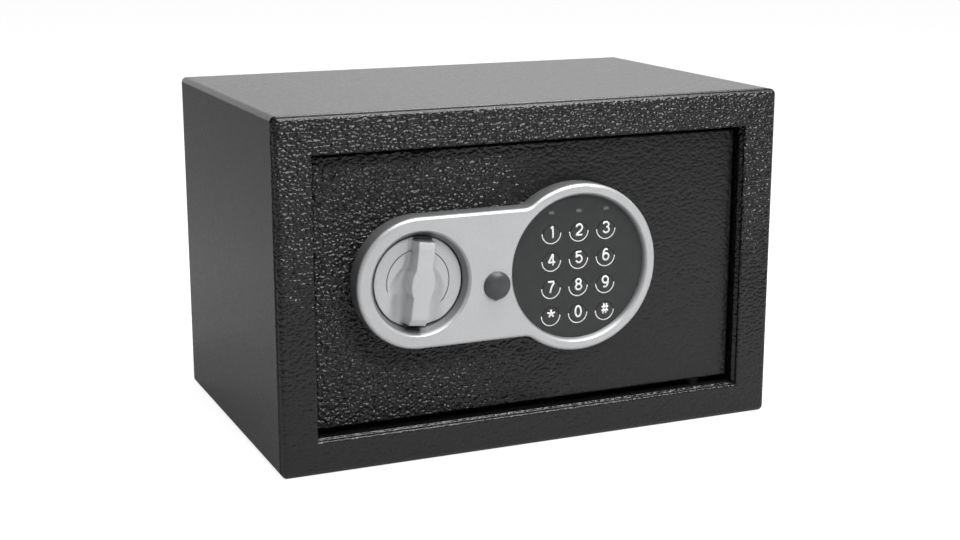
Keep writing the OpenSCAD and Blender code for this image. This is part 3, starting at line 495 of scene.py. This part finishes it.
class Recipe(Nodes):
    """A material built on one Principled shader."""

    def __init__(self, name, **shader):
        self.material = bpy.data.materials.new(name)
        self.material.use_nodes = True
        super().__init__(self.material.node_tree)
        self.shader = self.tree.nodes["Principled BSDF"]
        self.set(self.shader, shader)
        self.place = self.add("ShaderNodeTexCoord").outputs["Object"]

    def noise(self, size, detail=2.0, place=None):
        """Soft noise whose lumps are about `size` metres across."""
        node = self.add("ShaderNodeTexNoise", Vector=place or self.place, Scale=1 / size,
                        Detail=detail)
        return node.outputs["Fac"]

    def axis(self, name):
        """One coordinate of the place."""
        return self.add("ShaderNodeSeparateXYZ", Vector=self.place).outputs[name]

    def stretched(self, x, y, z):
        """The place, drawn out along an axis by a factor below one."""
        return self.add("ShaderNodeMapping", Vector=self.place, Scale=(x, y, z)).outputs["Vector"]

    def ramp(self, value, *stops):
        """A colour or grey for each stop's position."""
        node = self.add("ShaderNodeValToRGB", Fac=value)
        band = node.color_ramp
        while len(band.elements) < len(stops):
            band.elements.new(0.5)
        for element, (position, shade) in zip(band.elements, stops):
            element.position = position
            element.color = (*shade, 1) if hasattr(shade, "__len__") else (shade, shade, shade, 1)
        return node.outputs["Color"]

    def span(self, value, low, high):
        """The value, from 0 to 1, brought between low and high."""
        node = self.add("ShaderNodeMapRange", Value=value, To_Min=low, To_Max=high)
        return node.outputs["Result"]

    def tinted(self, under, part, over):
        """The colour `under`, turned into `over` where part is one."""
        node = self.add("ShaderNodeMix", {"data_type": "RGBA"}, Factor=part)
        self.tree.links.new(under, node.inputs[6])
        node.inputs[7].default_value = (*over, 1)
        return node.outputs[2]

    def tint(self, base, value, low, high):
        """The base colour made darker or lighter between low and high times itself."""
        return self.ramp(value, (0.25, [c * low for c in base]),
                         (0.75, [min(c * high, 1) for c in base]))

    def bump(self, height, depth, strength=1.0, normal=None):
        """A normal bent by the height, laid on another normal if one is given."""
        node = self.add("ShaderNodeBump", Height=height, Distance=depth, Strength=strength)
        if normal:
            self.set(node, {"Normal": normal})
        return node.outputs["Normal"]

    def finish(self, **sockets):
        """The material, once the shader's sockets have these values or links."""
        self.set(self.shader, sockets)
        return self.material


def powder_coat(name, coat, size, relief, calm=None):
    """Black powder coat: rounded pebbles, a little wider than high, in narrow valleys.

    calm, if given, makes from the recipe a share of the relief that varies over the surface, and
    the normal that the pebbles are laid on.
    """
    r = Recipe(name, IOR=1.5)
    sway = r.add("ShaderNodeTexNoise", Vector=r.place, Scale=0.6 / size, Detail=2.0)
    bent = r.add("ShaderNodeMix", {"data_type": "VECTOR"}, Factor=size * 0.9)
    r.tree.links.new(r.place, bent.inputs[4])
    r.tree.links.new(sway.outputs["Color"], bent.inputs[5])
    wide = r.add("ShaderNodeMapping", Vector=bent.outputs[1], Scale=(0.8, 0.8, 1.15))
    cells = r.add("ShaderNodeTexVoronoi", {"feature": "SMOOTH_F1"}, Vector=wide.outputs["Vector"],
                  Scale=0.9 / size, Smoothness=0.35, Randomness=1.0)
    pebble = r.math("SUBTRACT", 1.0, r.math("POWER", cells.outputs["Distance"], 1.6))
    swell = r.noise(size * 2.2, 3.0)
    height = r.math("ADD", pebble, r.math("MULTIPLY", swell, 0.8))
    fine = r.noise(size * 0.3, 2.0)
    height = r.math("ADD", height, r.math("MULTIPLY", fine, 0.05))
    cloud = r.noise(0.045, 3.0)
    under = None
    if calm:
        part, under = calm(r)
        relief = r.math("MULTIPLY", part, relief)
    return r.finish(
        Base_Color=r.tint(coat.black, cloud, 0.85, 1.2),
        Roughness=r.span(r.noise(size * 3, 2.0), coat.roughness - 0.04, coat.roughness + 0.08),
        Normal=r.bump(height, size * 0.8, relief, under))


def frame_relief(r):
    """Full relief on the frame's face, and less low down and on the folded top edge.

    The top edge's normal leans forward between 2 and 6.6 mm behind the face, as if the sheet
    rolled over there.
    """
    y, z = r.axis("Y"), r.axis("Z")
    near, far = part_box("front_frame")
    above_floor = r.span(r.fade(z, 0.02, 0.18), 0.25, 1.0)
    below_fold = r.span(r.fade(z, far.z - 0.0010, far.z - 0.0035), 0.05, 1.0)
    rolled = r.bump(r.fade(y, near.y + 0.0020, near.y + 0.0066), 0.0065)
    return r.math("MULTIPLY", above_floor, below_fold), rolled


def door_relief(r):
    """Full relief on the left of the door, and a smoother skin towards the right."""
    smooth_from, rough_from = 0.06, -0.09
    return r.span(r.fade(r.axis("X"), smooth_from, rough_from), 0.16, 1.0), None


def satin_silver(name, base, roughness=0.36, groove=None, front=None):
    """Silver lacquer on a moulding: tiny flakes that catch the light, under a faint swell.

    groove is a ring's centre, its radius and the grip's lean: it cuts a fine ring with painted
    shade in it, and paints shadow on the grip's sunk ends. front is the depth of the foremost
    face: the walls behind it are darkened with painted shade, a painted reflection of the dark
    room that real lacquer mirrors.
    """
    shade, wall_shade = [c * 0.26 for c in base], [c * 0.36 for c in base]
    r = Recipe(name, Metallic=0.4, IOR=1.5)
    flakes = r.add("ShaderNodeTexVoronoi", Vector=r.place, Scale=1 / 0.00035)
    flake = r.add("ShaderNodeSeparateColor", Color=flakes.outputs["Color"]).outputs["Red"]
    swell = r.noise(0.004, 2.0)
    lacquer = r.tint(base, r.math("ADD", r.math("MULTIPLY", flake, 0.5),
                                  r.math("MULTIPLY", r.noise(0.02), 0.5)), 0.94, 1.05)
    normal = r.bump(r.math("ADD", swell, r.math("MULTIPLY", flake, 0.08)), 0.00003, 0.5)
    if front is not None:
        # painted shade on the walls behind the front face: a painted reflection of the dark room
        walls = r.fade(r.axis("Y"), front + 0.0007, front + 0.0026)
        lacquer = r.tinted(lacquer, walls, wall_shade)
    if groove:
        # painted shade in the groove ring, and painted shadow on the grip's sunk ends
        cut, ends = knob_masks(r, *groove)
        lacquer = r.tinted(r.tinted(lacquer, ends, shade), cut, shade)
        normal = r.bump(r.math("SUBTRACT", 1.0, cut), 0.0003, 0.8, normal)
    return r.finish(
        Base_Color=lacquer, Roughness=r.span(flake, roughness - 0.04, roughness + 0.05),
        Normal=normal)


def knob_masks(r, centre, radius, lean):
    """One in a fine ring about the knob's axis and one at the grip's sunk ends, for painted shade.

    The ring fades where it comes within 5.4 mm of the grip's middle line, and below a line that
    slopes down to the right, where the scoops are wide. The ends are what lies further than
    23.4 mm along the grip and within 5.6 mm of its middle line.
    """
    x = r.math("SUBTRACT", r.axis("X"), centre.x)
    z = r.math("SUBTRACT", r.axis("Z"), centre.z)
    cos, sin, slope = math.cos(math.radians(lean)), math.sin(math.radians(lean)), 0.27
    across = r.math("SUBTRACT", r.math("MULTIPLY", x, cos), r.math("MULTIPLY", z, sin))
    along = r.math("ADD", r.math("MULTIPLY", x, sin), r.math("MULTIPLY", z, cos))
    from_middle, from_hub = r.math("ABSOLUTE", across), r.math("ABSOLUTE", along)
    out = r.math("SQRT", r.math("ADD", r.math("MULTIPLY", x, x), r.math("MULTIPLY", z, z)))
    thin = r.fade(r.math("ABSOLUTE", r.math("SUBTRACT", out, radius)), 0.00040, 0.00018)
    beside_grip = r.fade(from_middle, 0.0054, 0.0062)
    above_scoops = r.fade(r.math("ADD", z, r.math("MULTIPLY", x, slope)), -0.0100, -0.0075)
    ring = r.math("MULTIPLY", r.math("MULTIPLY", thin, beside_grip), above_scoops)
    beyond, on_grip = r.fade(from_hub, 0.0233, 0.0237), r.fade(from_middle, 0.0060, 0.0054)
    return ring, r.math("MULTIPLY", beyond, on_grip)


def moulded(name, base, roughness, depth=0.00002, variation=0.12, **shader):
    """Moulded plastic or rubber: a fine spark texture and a slight unevenness of colour."""
    r = Recipe(name, **shader)
    spark = r.noise(0.00045)
    return r.finish(
        Base_Color=r.tint(base, r.noise(0.006, 3.0), 1 - variation, 1 + variation),
        Roughness=r.span(r.noise(0.003, 3.0), max(roughness - 0.06, 0.02), roughness + 0.08),
        Normal=r.bump(spark, depth, 0.7))


def plain_metal(name, base, roughness, draw=(1, 1, 1)):
    """Bare metal: dull patches, and fine lines along the axis whose draw is below one."""
    r = Recipe(name, Metallic=1.0)
    lines = r.noise(0.0004, 3.0, r.stretched(*draw))
    dull = r.noise(0.009, 4.0)
    mixed = r.math("ADD", r.math("MULTIPLY", lines, 0.5), r.math("MULTIPLY", dull, 0.5))
    return r.finish(
        Base_Color=r.tint(base, dull, 0.88, 1.08),
        Roughness=r.span(mixed, roughness - 0.08, roughness + 0.12),
        Normal=r.bump(lines, 0.00001, 0.5))


def zinc_plate(name, base):
    """Zinc plating: a cloudy passivated sheet with a trace of yellow and violet in its sheen."""
    r = Recipe(name, Metallic=1.0)
    cloud = r.noise(0.012, 4.0)
    warm = [c * part for c, part in zip(base, (1.0, 0.97, 0.85))]
    cool = [c * part for c, part in zip(base, (0.93, 0.94, 1.02))]
    return r.finish(
        Base_Color=r.ramp(cloud, (0.3, warm), (0.5, base), (0.7, cool)),
        Roughness=r.span(r.noise(0.004, 3.0), 0.26, 0.42),
        Normal=r.bump(r.noise(0.0006, 3.0, r.stretched(1, 1, 0.1)), 0.000012, 0.5))


def needled_felt(name, base):
    """Needled felt: short crossing fibres, small pits, and a soft sheen at a low angle."""
    r = Recipe(name, Roughness=0.95, Sheen_Weight=0.25, Sheen_Roughness=0.5,
               Specular_IOR_Level=0.2)
    along = r.noise(0.0008, 4.0, r.stretched(0.25, 1, 1))
    across = r.noise(0.0008, 4.0, r.stretched(1, 0.25, 1))
    fibre = r.math("MAXIMUM", along, across)
    cloud = r.noise(0.012, 4.0)
    mixed = r.math("ADD", r.math("MULTIPLY", fibre, 0.6), r.math("MULTIPLY", cloud, 0.4))
    return r.finish(Base_Color=r.tint(base, mixed, 0.6, 1.5), Normal=r.bump(fibre, 0.0004, 0.9))


def printed(name, base):
    """Screen-printed ink: even, slightly worn, a little duller than the face under it."""
    r = Recipe(name, Specular_IOR_Level=0.4)
    return r.finish(
        Base_Color=r.tint(base, r.noise(0.0012, 3.0), 0.92, 1.04),
        Roughness=r.span(r.noise(0.002), 0.45, 0.6),
        Normal=r.bump(r.noise(0.0003), 0.000008, 0.5))


def circuit_board(name):
    """Green solder mask with lighter copper tracks along both ways of the board."""
    r = Recipe(name, IOR=1.5)
    cells = r.add("ShaderNodeTexBrick", {"offset": 0.5}, Vector=r.place, Scale=240.0,
                  Mortar_Size=0.03, Color1=(0.010, 0.075, 0.038), Color2=(0.012, 0.085, 0.042),
                  Mortar=(0.03, 0.17, 0.08))
    return r.finish(
        Base_Color=cells.outputs["Color"], Roughness=r.span(r.noise(0.002), 0.2, 0.34),
        Normal=r.bump(cells.outputs["Fac"], 0.00003, 0.4))


def wound_wire(name):
    """Enamelled copper wire in close turns along z, rounded ridges with painted shade between."""
    base, pitch = (0.42, 0.13, 0.05), 0.0006
    r = Recipe(name, Metallic=0.7, Coat_Weight=0.5)
    ridge = r.math("ABSOLUTE", r.math("SINE", r.math("MULTIPLY", r.axis("Z"), math.pi / pitch)))
    # painted shade: the colour falls to 0.35 of the copper towards the grooves between turns
    return r.finish(
        Base_Color=r.ramp(ridge, (0.0, [c * 0.35 for c in base]), (0.6, base)),
        Roughness=r.span(r.noise(0.002), 0.22, 0.36), Normal=r.bump(ridge, 0.0003, 1.0))


def banded_cells(name, low, high):
    """A cell's printed sleeve: dark, with a coppery band at one end."""
    foot, dark, copper, cap = ((0.45, 0.44, 0.42), (0.015, 0.016, 0.018), (0.42, 0.17, 0.06),
                               (0.5, 0.5, 0.48))
    r = Recipe(name, IOR=1.5, Coat_Weight=0.3)
    at = r.add("ShaderNodeMapRange", Value=r.axis("Z"), From_Min=low, From_Max=high)
    at = at.outputs["Result"]
    sleeve = r.ramp(at, (0.0, foot), (0.03, dark), (0.66, dark), (0.67, copper), (0.965, cap))
    sleeve.node.color_ramp.interpolation = "CONSTANT"
    return r.finish(
        Base_Color=sleeve,
        Metallic=r.ramp(at, (0.02, 1.0), (0.03, 0.2), (0.66, 0.2), (0.67, 0.8)),
        Roughness=r.span(r.noise(0.003, 3.0), 0.24, 0.4),
        Normal=r.bump(r.noise(0.0008), 0.00001, 0.4))


def paint(material, *nodes):
    """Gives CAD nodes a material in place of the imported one."""
    for node in nodes:
        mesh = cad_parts[node].data
        mesh.materials.clear()
        mesh.materials.append(material)


# ---------- one operator for each piece or group of like pieces ----------


class SAFE_OT_camera(bpy.types.Operator):
    """Place the camera to the left of the safe and above it, looking down at its front"""

    bl_idname = "safe.camera"
    bl_label = "Camera"

    def execute(self, context):
        data = bpy.data.cameras.new("camera")
        data.sensor_width = 36
        data.lens = settings().safe_studio.lens
        data.clip_end = 50
        camera = bpy.data.objects.new("camera", data)
        context.collection.objects.link(camera)
        camera.location = CAMERA_SPOT
        camera.rotation_euler = (math.radians(90 - CAMERA_DOWN), 0, math.radians(-CAMERA_RIGHT))
        context.scene.camera = camera
        return {"FINISHED"}


class SAFE_OT_coat(bpy.types.Operator):
    """Powder-coat the cabinet, the door and the inner cover"""

    bl_idname = "safe.coat"
    bl_label = "Powder coat"

    def execute(self, context):
        coat = settings().safe_coat
        fine_relief = coat.relief * 0.07
        paint(powder_coat("frame_coat", coat, coat.pebble, coat.relief, frame_relief),
              "front_frame")
        paint(powder_coat("door_coat", coat, coat.pebble, coat.relief, door_relief),
              "door_panel")
        smooth = powder_coat("fine_coat", coat, coat.grain, fine_relief)
        paint(smooth, "body_shell", "back_panel", "inner_cover", "battery_lid", "door_stops",
              "hinge_bracket_lower", "hinge_bracket_upper", "hinge_ear_lower", "hinge_ear_upper",
              "hinge_pin_lower", "hinge_pin_upper")
        return {"FINISHED"}


class SAFE_OT_escutcheon(bpy.types.Operator):
    """Lacquer the escutcheon, and finish the keypad's face, keys and status windows"""

    bl_idname = "safe.escutcheon"
    bl_label = "Escutcheon and knob"

    def execute(self, context):
        s = settings().safe_fittings
        # the escutcheon's walls behind its face get painted shade, a painted reflection of the
        # dark room
        paint(satin_silver("silver_lacquer", s.silver, front=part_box("bezel")[0].y), "bezel")
        paint(moulded("keypad_face", s.face, 0.42, IOR=1.45), "keypad_plate")
        paint(moulded("key_caps", s.key, 0.4, variation=0.06), *KEYS)
        paint(moulded("smoked_window", (0.10, 0.11, 0.11), 0.12, depth=0.000004, Coat_Weight=0.6),
              "status_windows")
        return {"FINISHED"}


class SAFE_OT_knob(bpy.types.Operator):
    """Mould the knob: a flat disc with a leaning grip between two finger scoops"""

    bl_idname = "safe.knob"
    bl_label = "Knob"

    def execute(self, context):
        s = settings().safe_fittings
        # painted light: the knob's silver is 7 % lighter than the escutcheon's, to make up for the
        # shade of its recess
        centre, bright = centre_of("spindle"), [c * 1.07 for c in s.silver]
        # its lacquer also has painted shade in the groove ring and painted shadow on the grip's
        # sunk ends
        silver = satin_silver("knob_lacquer", bright, 0.42, (centre, s.groove, GRIP_LEAN))
        points, faces = knob_surface()
        points = on_door(points, centre, GRIP_LEAN)
        piece = put("knob_moulding", points, faces, "knob", silver, "silver_plastic")
        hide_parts("knob")
        return {"FINISHED"}


class SAFE_OT_plug(bpy.types.Operator):
    """Mould the rubber plug over the keyhole"""

    bl_idname = "safe.plug"
    bl_label = "Keyhole plug"

    def execute(self, context):
        s = settings().safe_fittings
        rubber = moulded("plug_rubber", s.rubber, 0.36, depth=0.00001)
        points, faces = plug_surface()
        points = on_door(points, centre_of("lock_core"))
        piece = put("plug_moulding", points, faces, "keyhole_plug", rubber, "plug_rubber")
        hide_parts("keyhole_plug")
        return {"FINISHED"}


class SAFE_OT_digits(bpy.types.Operator):
    """Print a digit or sign on each key"""

    bl_idname = "safe.digits"
    bl_label = "Digits"

    def execute(self, context):
        s = settings().safe_fittings
        ink = printed("white_print", s.print)
        widen, rise, flange, dome = 1.12, 0.0012, 0.001, 0.0007
        scale = np.array([widen, 1.0]) * s.digit_height / SIGN_HEIGHT
        for sign, strokes in glyphs().items():
            node = "key_" + sign
            low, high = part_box(node)
            middle = (low + high) / 2
            key_radius = (high.x - low.x) / 2 - flange
            ball = (key_radius ** 2 + dome ** 2) / (2 * dome)

            def seat(x, z):
                """The dome of the key: the front of a ball that passes through the key's edge."""
                out = (x - middle.x) ** 2 + (z - middle.z) ** 2
                return low.y + ball - np.sqrt(ball ** 2 - out)

            parts = []
            for stroke in strokes:
                path = stroke * scale + np.array([middle.x, middle.z + rise])
                closed = np.allclose(path[0], path[-1])
                path = path[:-1] if closed else path
                parts.append(raised_line(path, s.digit_stroke, s.ink, seat, closed))
            put("digit_" + sign, *joined(parts), node, ink, "key_rubber")
        return {"FINISHED"}


class SAFE_OT_arcs(bpy.types.Operator):
    """Print the arc under each key"""

    bl_idname = "safe.arcs"
    bl_label = "Arcs"

    def execute(self, context):
        s = settings().safe_fittings
        ink = bpy.data.materials["white_print"]
        front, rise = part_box("keypad_plate")[0].y, 0.0003

        def seat(x, z):
            """The flat face of the keypad."""
            return np.full_like(x, front)

        arcs = []
        for node in KEYS:
            centre = centre_of(node)
            path = arc(centre.x, centre.z + rise, s.arc_radius, s.arc_radius, 180, 360, 40)
            arcs.append(raised_line(path, s.arc_stroke, s.ink, seat))
        put("key_arcs", *joined(arcs), "door", ink, "keypad_face")
        return {"FINISHED"}


class SAFE_OT_knob_mark(bpy.types.Operator):
    """Set the small index mark into the foot of the knob's recess"""

    bl_idname = "safe.knob_mark"
    bl_label = "Index mark"

    def execute(self, context):
        centre = centre_of("spindle")
        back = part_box("bezel")[0].y + 0.0125
        foot, foot_height, lip, lip_height = 0.0268, 0.0073, 0.0294, 0.0118
        mark_from, mark_to, width, height = 0.0272, 0.0291, 0.0024, 0.0005

        def seat(x, z):
            """The flared wall of the recess: its height grows evenly from its foot to its lip."""
            share_of = (np.hypot(x - centre.x, z - centre.z) - foot) / (lip - foot)
            return back - (foot_height + (lip_height - foot_height) * share_of)

        path = line((centre.x, centre.z - mark_from), (centre.x, centre.z - mark_to))
        # the mark takes the escutcheon's lacquer, whose painted shade darkens it here, behind the
        # front face
        put("knob_mark", *raised_line(path, width, height, seat), "door",
            bpy.data.materials["silver_lacquer"], "silver_plastic", smooth=False)
        return {"FINISHED"}


class SAFE_OT_works(bpy.types.Operator):
    """Finish the bolts, the pressings, the lock and the electrical pieces behind the door"""

    bl_idname = "safe.works"
    bl_label = "Boltwork and electrics"

    def execute(self, context):
        s = settings().safe_inside
        paint(plain_metal("ground_bolt", s.steel, 0.2, (0.08, 1, 1)), "upper_bolt", "lower_bolt")
        paint(plain_metal("turned_steel", s.steel, 0.26, (1, 0.08, 1)), "bezel_screws",
              "keypad_screws", "guide_posts", "cover_screws", "spindle", "crank_screw", "lock_cam")
        paint(plain_metal("bright_pin", s.steel, 0.22, (1, 1, 0.08)), "plunger",
              "battery_contacts")
        paint(zinc_plate("zinc_plate", s.zinc), "lock_housing", "lock_nut", "solenoid_bracket",
              "solenoid_frame", "bolt_guide", "crank", "bolt_carriage")
        paint(plain_metal("lock_brass", (0.70, 0.50, 0.20), 0.24, (1, 0.1, 1)), "lock_core")
        paint(moulded("grey_silicone", (0.14, 0.15, 0.16), 0.5), "key_mat")
        paint(circuit_board("circuit_board"), "keypad_board")
        paint(wound_wire("copper_winding"), "solenoid_coil")
        paint(moulded("black_plastic", (0.02, 0.02, 0.021), 0.4), "battery_tray", "reset_switch",
              "hinge_washer")
        low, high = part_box("batteries")
        paint(banded_cells("cell_sleeve", low.z, high.z), "batteries")
        paint(moulded("wire_skin", (0.42, 0.045, 0.03), 0.34), "wiring")
        paint(moulded("red_button", (0.5, 0.02, 0.015), 0.28), "reset_button")
        return {"FINISHED"}


class SAFE_OT_spring(bpy.types.Operator):
    """Wind the plunger's return spring, which rides on the plunger"""

    bl_idname = "safe.spring"
    bl_label = "Plunger spring"

    def execute(self, context):
        s = settings().safe_inside
        low, high = (np.array(corner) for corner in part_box("plunger_spring"))
        points, faces = spring_surface(low, high, s.spring_wire / 2)
        wire = plain_metal("spring_wire", s.steel, 0.24)
        piece = put("spring", points, faces, "plunger", wire, "bright_steel")
        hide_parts("plunger_spring")
        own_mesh(piece)
        return {"FINISHED"}


class SAFE_OT_floor_mat(bpy.types.Operator):
    """Lay the felt mat on the cabinet's floor, with a hole over each anchor hole"""

    bl_idname = "safe.floor_mat"
    bl_label = "Floor mat"

    def execute(self, context):
        s = settings().safe_inside
        low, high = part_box("floor_mat")
        width, depth = high.x - low.x, high.y - low.y
        points, faces = mat_surface(low, width, depth, s.mat_thickness, s.mat_hole)
        piece = put("mat", points, faces, "cabinet", needled_felt("felt", s.felt), "felt")
        thick = piece.modifiers.new("thickness", "SOLIDIFY")
        thick.thickness, thick.offset = s.mat_thickness - 0.0004, -1
        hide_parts("floor_mat")
        return {"FINISHED"}


class SAFE_OT_studio(bpy.types.Operator):
    """Lay the white floor, light the safe softly and make the background white"""

    bl_idname = "safe.studio"
    bl_label = "Studio"

    def execute(self, context):
        s = settings().safe_studio
        scene = context.scene
        scene.view_settings.view_transform = "Standard"
        side, count, drop = 6.0, 3, 0.0002
        u, v = np.meshgrid(np.linspace(-side, side, count), np.linspace(-side, side, count))
        points = np.stack([u, v, np.full_like(u, -drop)], axis=-1).reshape(-1, 3)
        quads = grid_quads(count, count)[1]
        mesh = bpy.data.meshes.new("studio_floor")
        mesh.from_pydata(points.tolist(), [], quads.tolist())
        floor = bpy.data.objects.new("studio_floor", mesh)
        context.collection.objects.link(floor)
        r = Recipe("pale_floor", Roughness=0.9, Specular_IOR_Level=0.0)
        ray = r.add("ShaderNodeLightPath").outputs
        to_eye, in_gloss = 0.86, 0.1
        glow = r.math("MAXIMUM", r.math("MULTIPLY", ray["Is Camera Ray"], to_eye),
                      r.math("MULTIPLY", ray["Is Glossy Ray"], in_gloss))
        r.finish(Base_Color=r.tint((0.5, 0.5, 0.5), r.noise(0.5), 0.99, 1.01),
                 Emission_Color=(1, 1, 1), Emission_Strength=glow)
        mesh.materials.append(r.material)

        world = bpy.data.worlds.new("even_light")
        scene.world = world
        world.use_nodes = True
        light = Nodes(world.node_tree)
        ray = light.add("ShaderNodeLightPath").outputs
        way = light.add("ShaderNodeTexCoord").outputs["Generated"]
        split = light.add("ShaderNodeSeparateXYZ", Vector=way).outputs
        behind, below_top = light.fade(split["Y"], -0.3, 0.5), light.fade(split["Z"], 0.55, 0.32)
        room = light.math("MAXIMUM", light.math("MULTIPLY", behind, below_top), s.wall)
        plain = light.math("MAXIMUM", ray["Is Camera Ray"], ray["Is Transmission Ray"])
        shown = light.math("MAXIMUM", plain, light.math("MULTIPLY", ray["Is Glossy Ray"], room))
        diffuse = light.math("SUBTRACT", 1.0, light.math("MAXIMUM", plain, ray["Is Glossy Ray"]))
        strength = light.math("ADD", shown, light.math("MULTIPLY", diffuse, s.sky))
        light.set(world.node_tree.nodes["Background"], {"Color": (1, 1, 1), "Strength": strength})

        for name, power, size, spot, turn in (
            ("overhead", s.overhead, (0.9, 0.3), (0.15, -0.28, 0.95), (-10, 0, 0)),
            ("front", s.front, (0.6, 0.3), (0.40, -0.87, 0.98), (45, 0, 28)),
            ("rear", s.rear, (0.8, 0.8), (0.7, 1.3, 1.4), (-42, 0, -28)),
        ):
            data = bpy.data.lights.new(name, "AREA")
            data.shape = "RECTANGLE"
            data.size, data.size_y = size
            data.energy = power
            lamp = bpy.data.objects.new(name, data)
            lamp.location = spot
            lamp.rotation_euler = [math.radians(a) for a in turn]
            context.collection.objects.link(lamp)
        return {"FINISHED"}


STEPS = (SAFE_OT_camera, SAFE_OT_coat, SAFE_OT_escutcheon, SAFE_OT_knob, SAFE_OT_plug,
         SAFE_OT_digits, SAFE_OT_arcs, SAFE_OT_knob_mark, SAFE_OT_spring, SAFE_OT_works,
         SAFE_OT_floor_mat, SAFE_OT_studio)
GROUPS = {"safe_coat": SafeCoat, "safe_fittings": SafeFittings, "safe_inside": SafeInside,
          "safe_studio": SafeStudio}


class SAFE_PT_sidebar(bpy.types.Panel):
    """The safe's pieces, finishes and studio"""

    bl_idname = "SAFE_PT_sidebar"
    bl_label = "Small electronic safe"
    bl_space_type = "VIEW_3D"
    bl_region_type = "UI"
    bl_category = "Safe"

    def draw(self, context):
        for group in GROUPS:
            box = self.layout.box()
            values = getattr(context.scene, group)
            for key in values.bl_rna.properties.keys():
                if key not in ("rna_type", "name"):
                    box.prop(values, key)
        for step in STEPS:
            self.layout.operator(step.bl_idname)


def register():
    for kind in (*GROUPS.values(), *STEPS, SAFE_PT_sidebar):
        bpy.utils.register_class(kind)
    for name, kind in GROUPS.items():
        setattr(bpy.types.Scene, name, bpy.props.PointerProperty(type=kind))


def unregister():
    for name in GROUPS:
        delattr(bpy.types.Scene, name)
    for kind in reversed((*GROUPS.values(), *STEPS, SAFE_PT_sidebar)):
        bpy.utils.unregister_class(kind)


def main():
    register()
    for step in STEPS:
        family, name = step.bl_idname.split(".")
        getattr(getattr(bpy.ops, family), name)()
    bpy.context.view_layer.update()


if __name__ == "__main__":
    main()
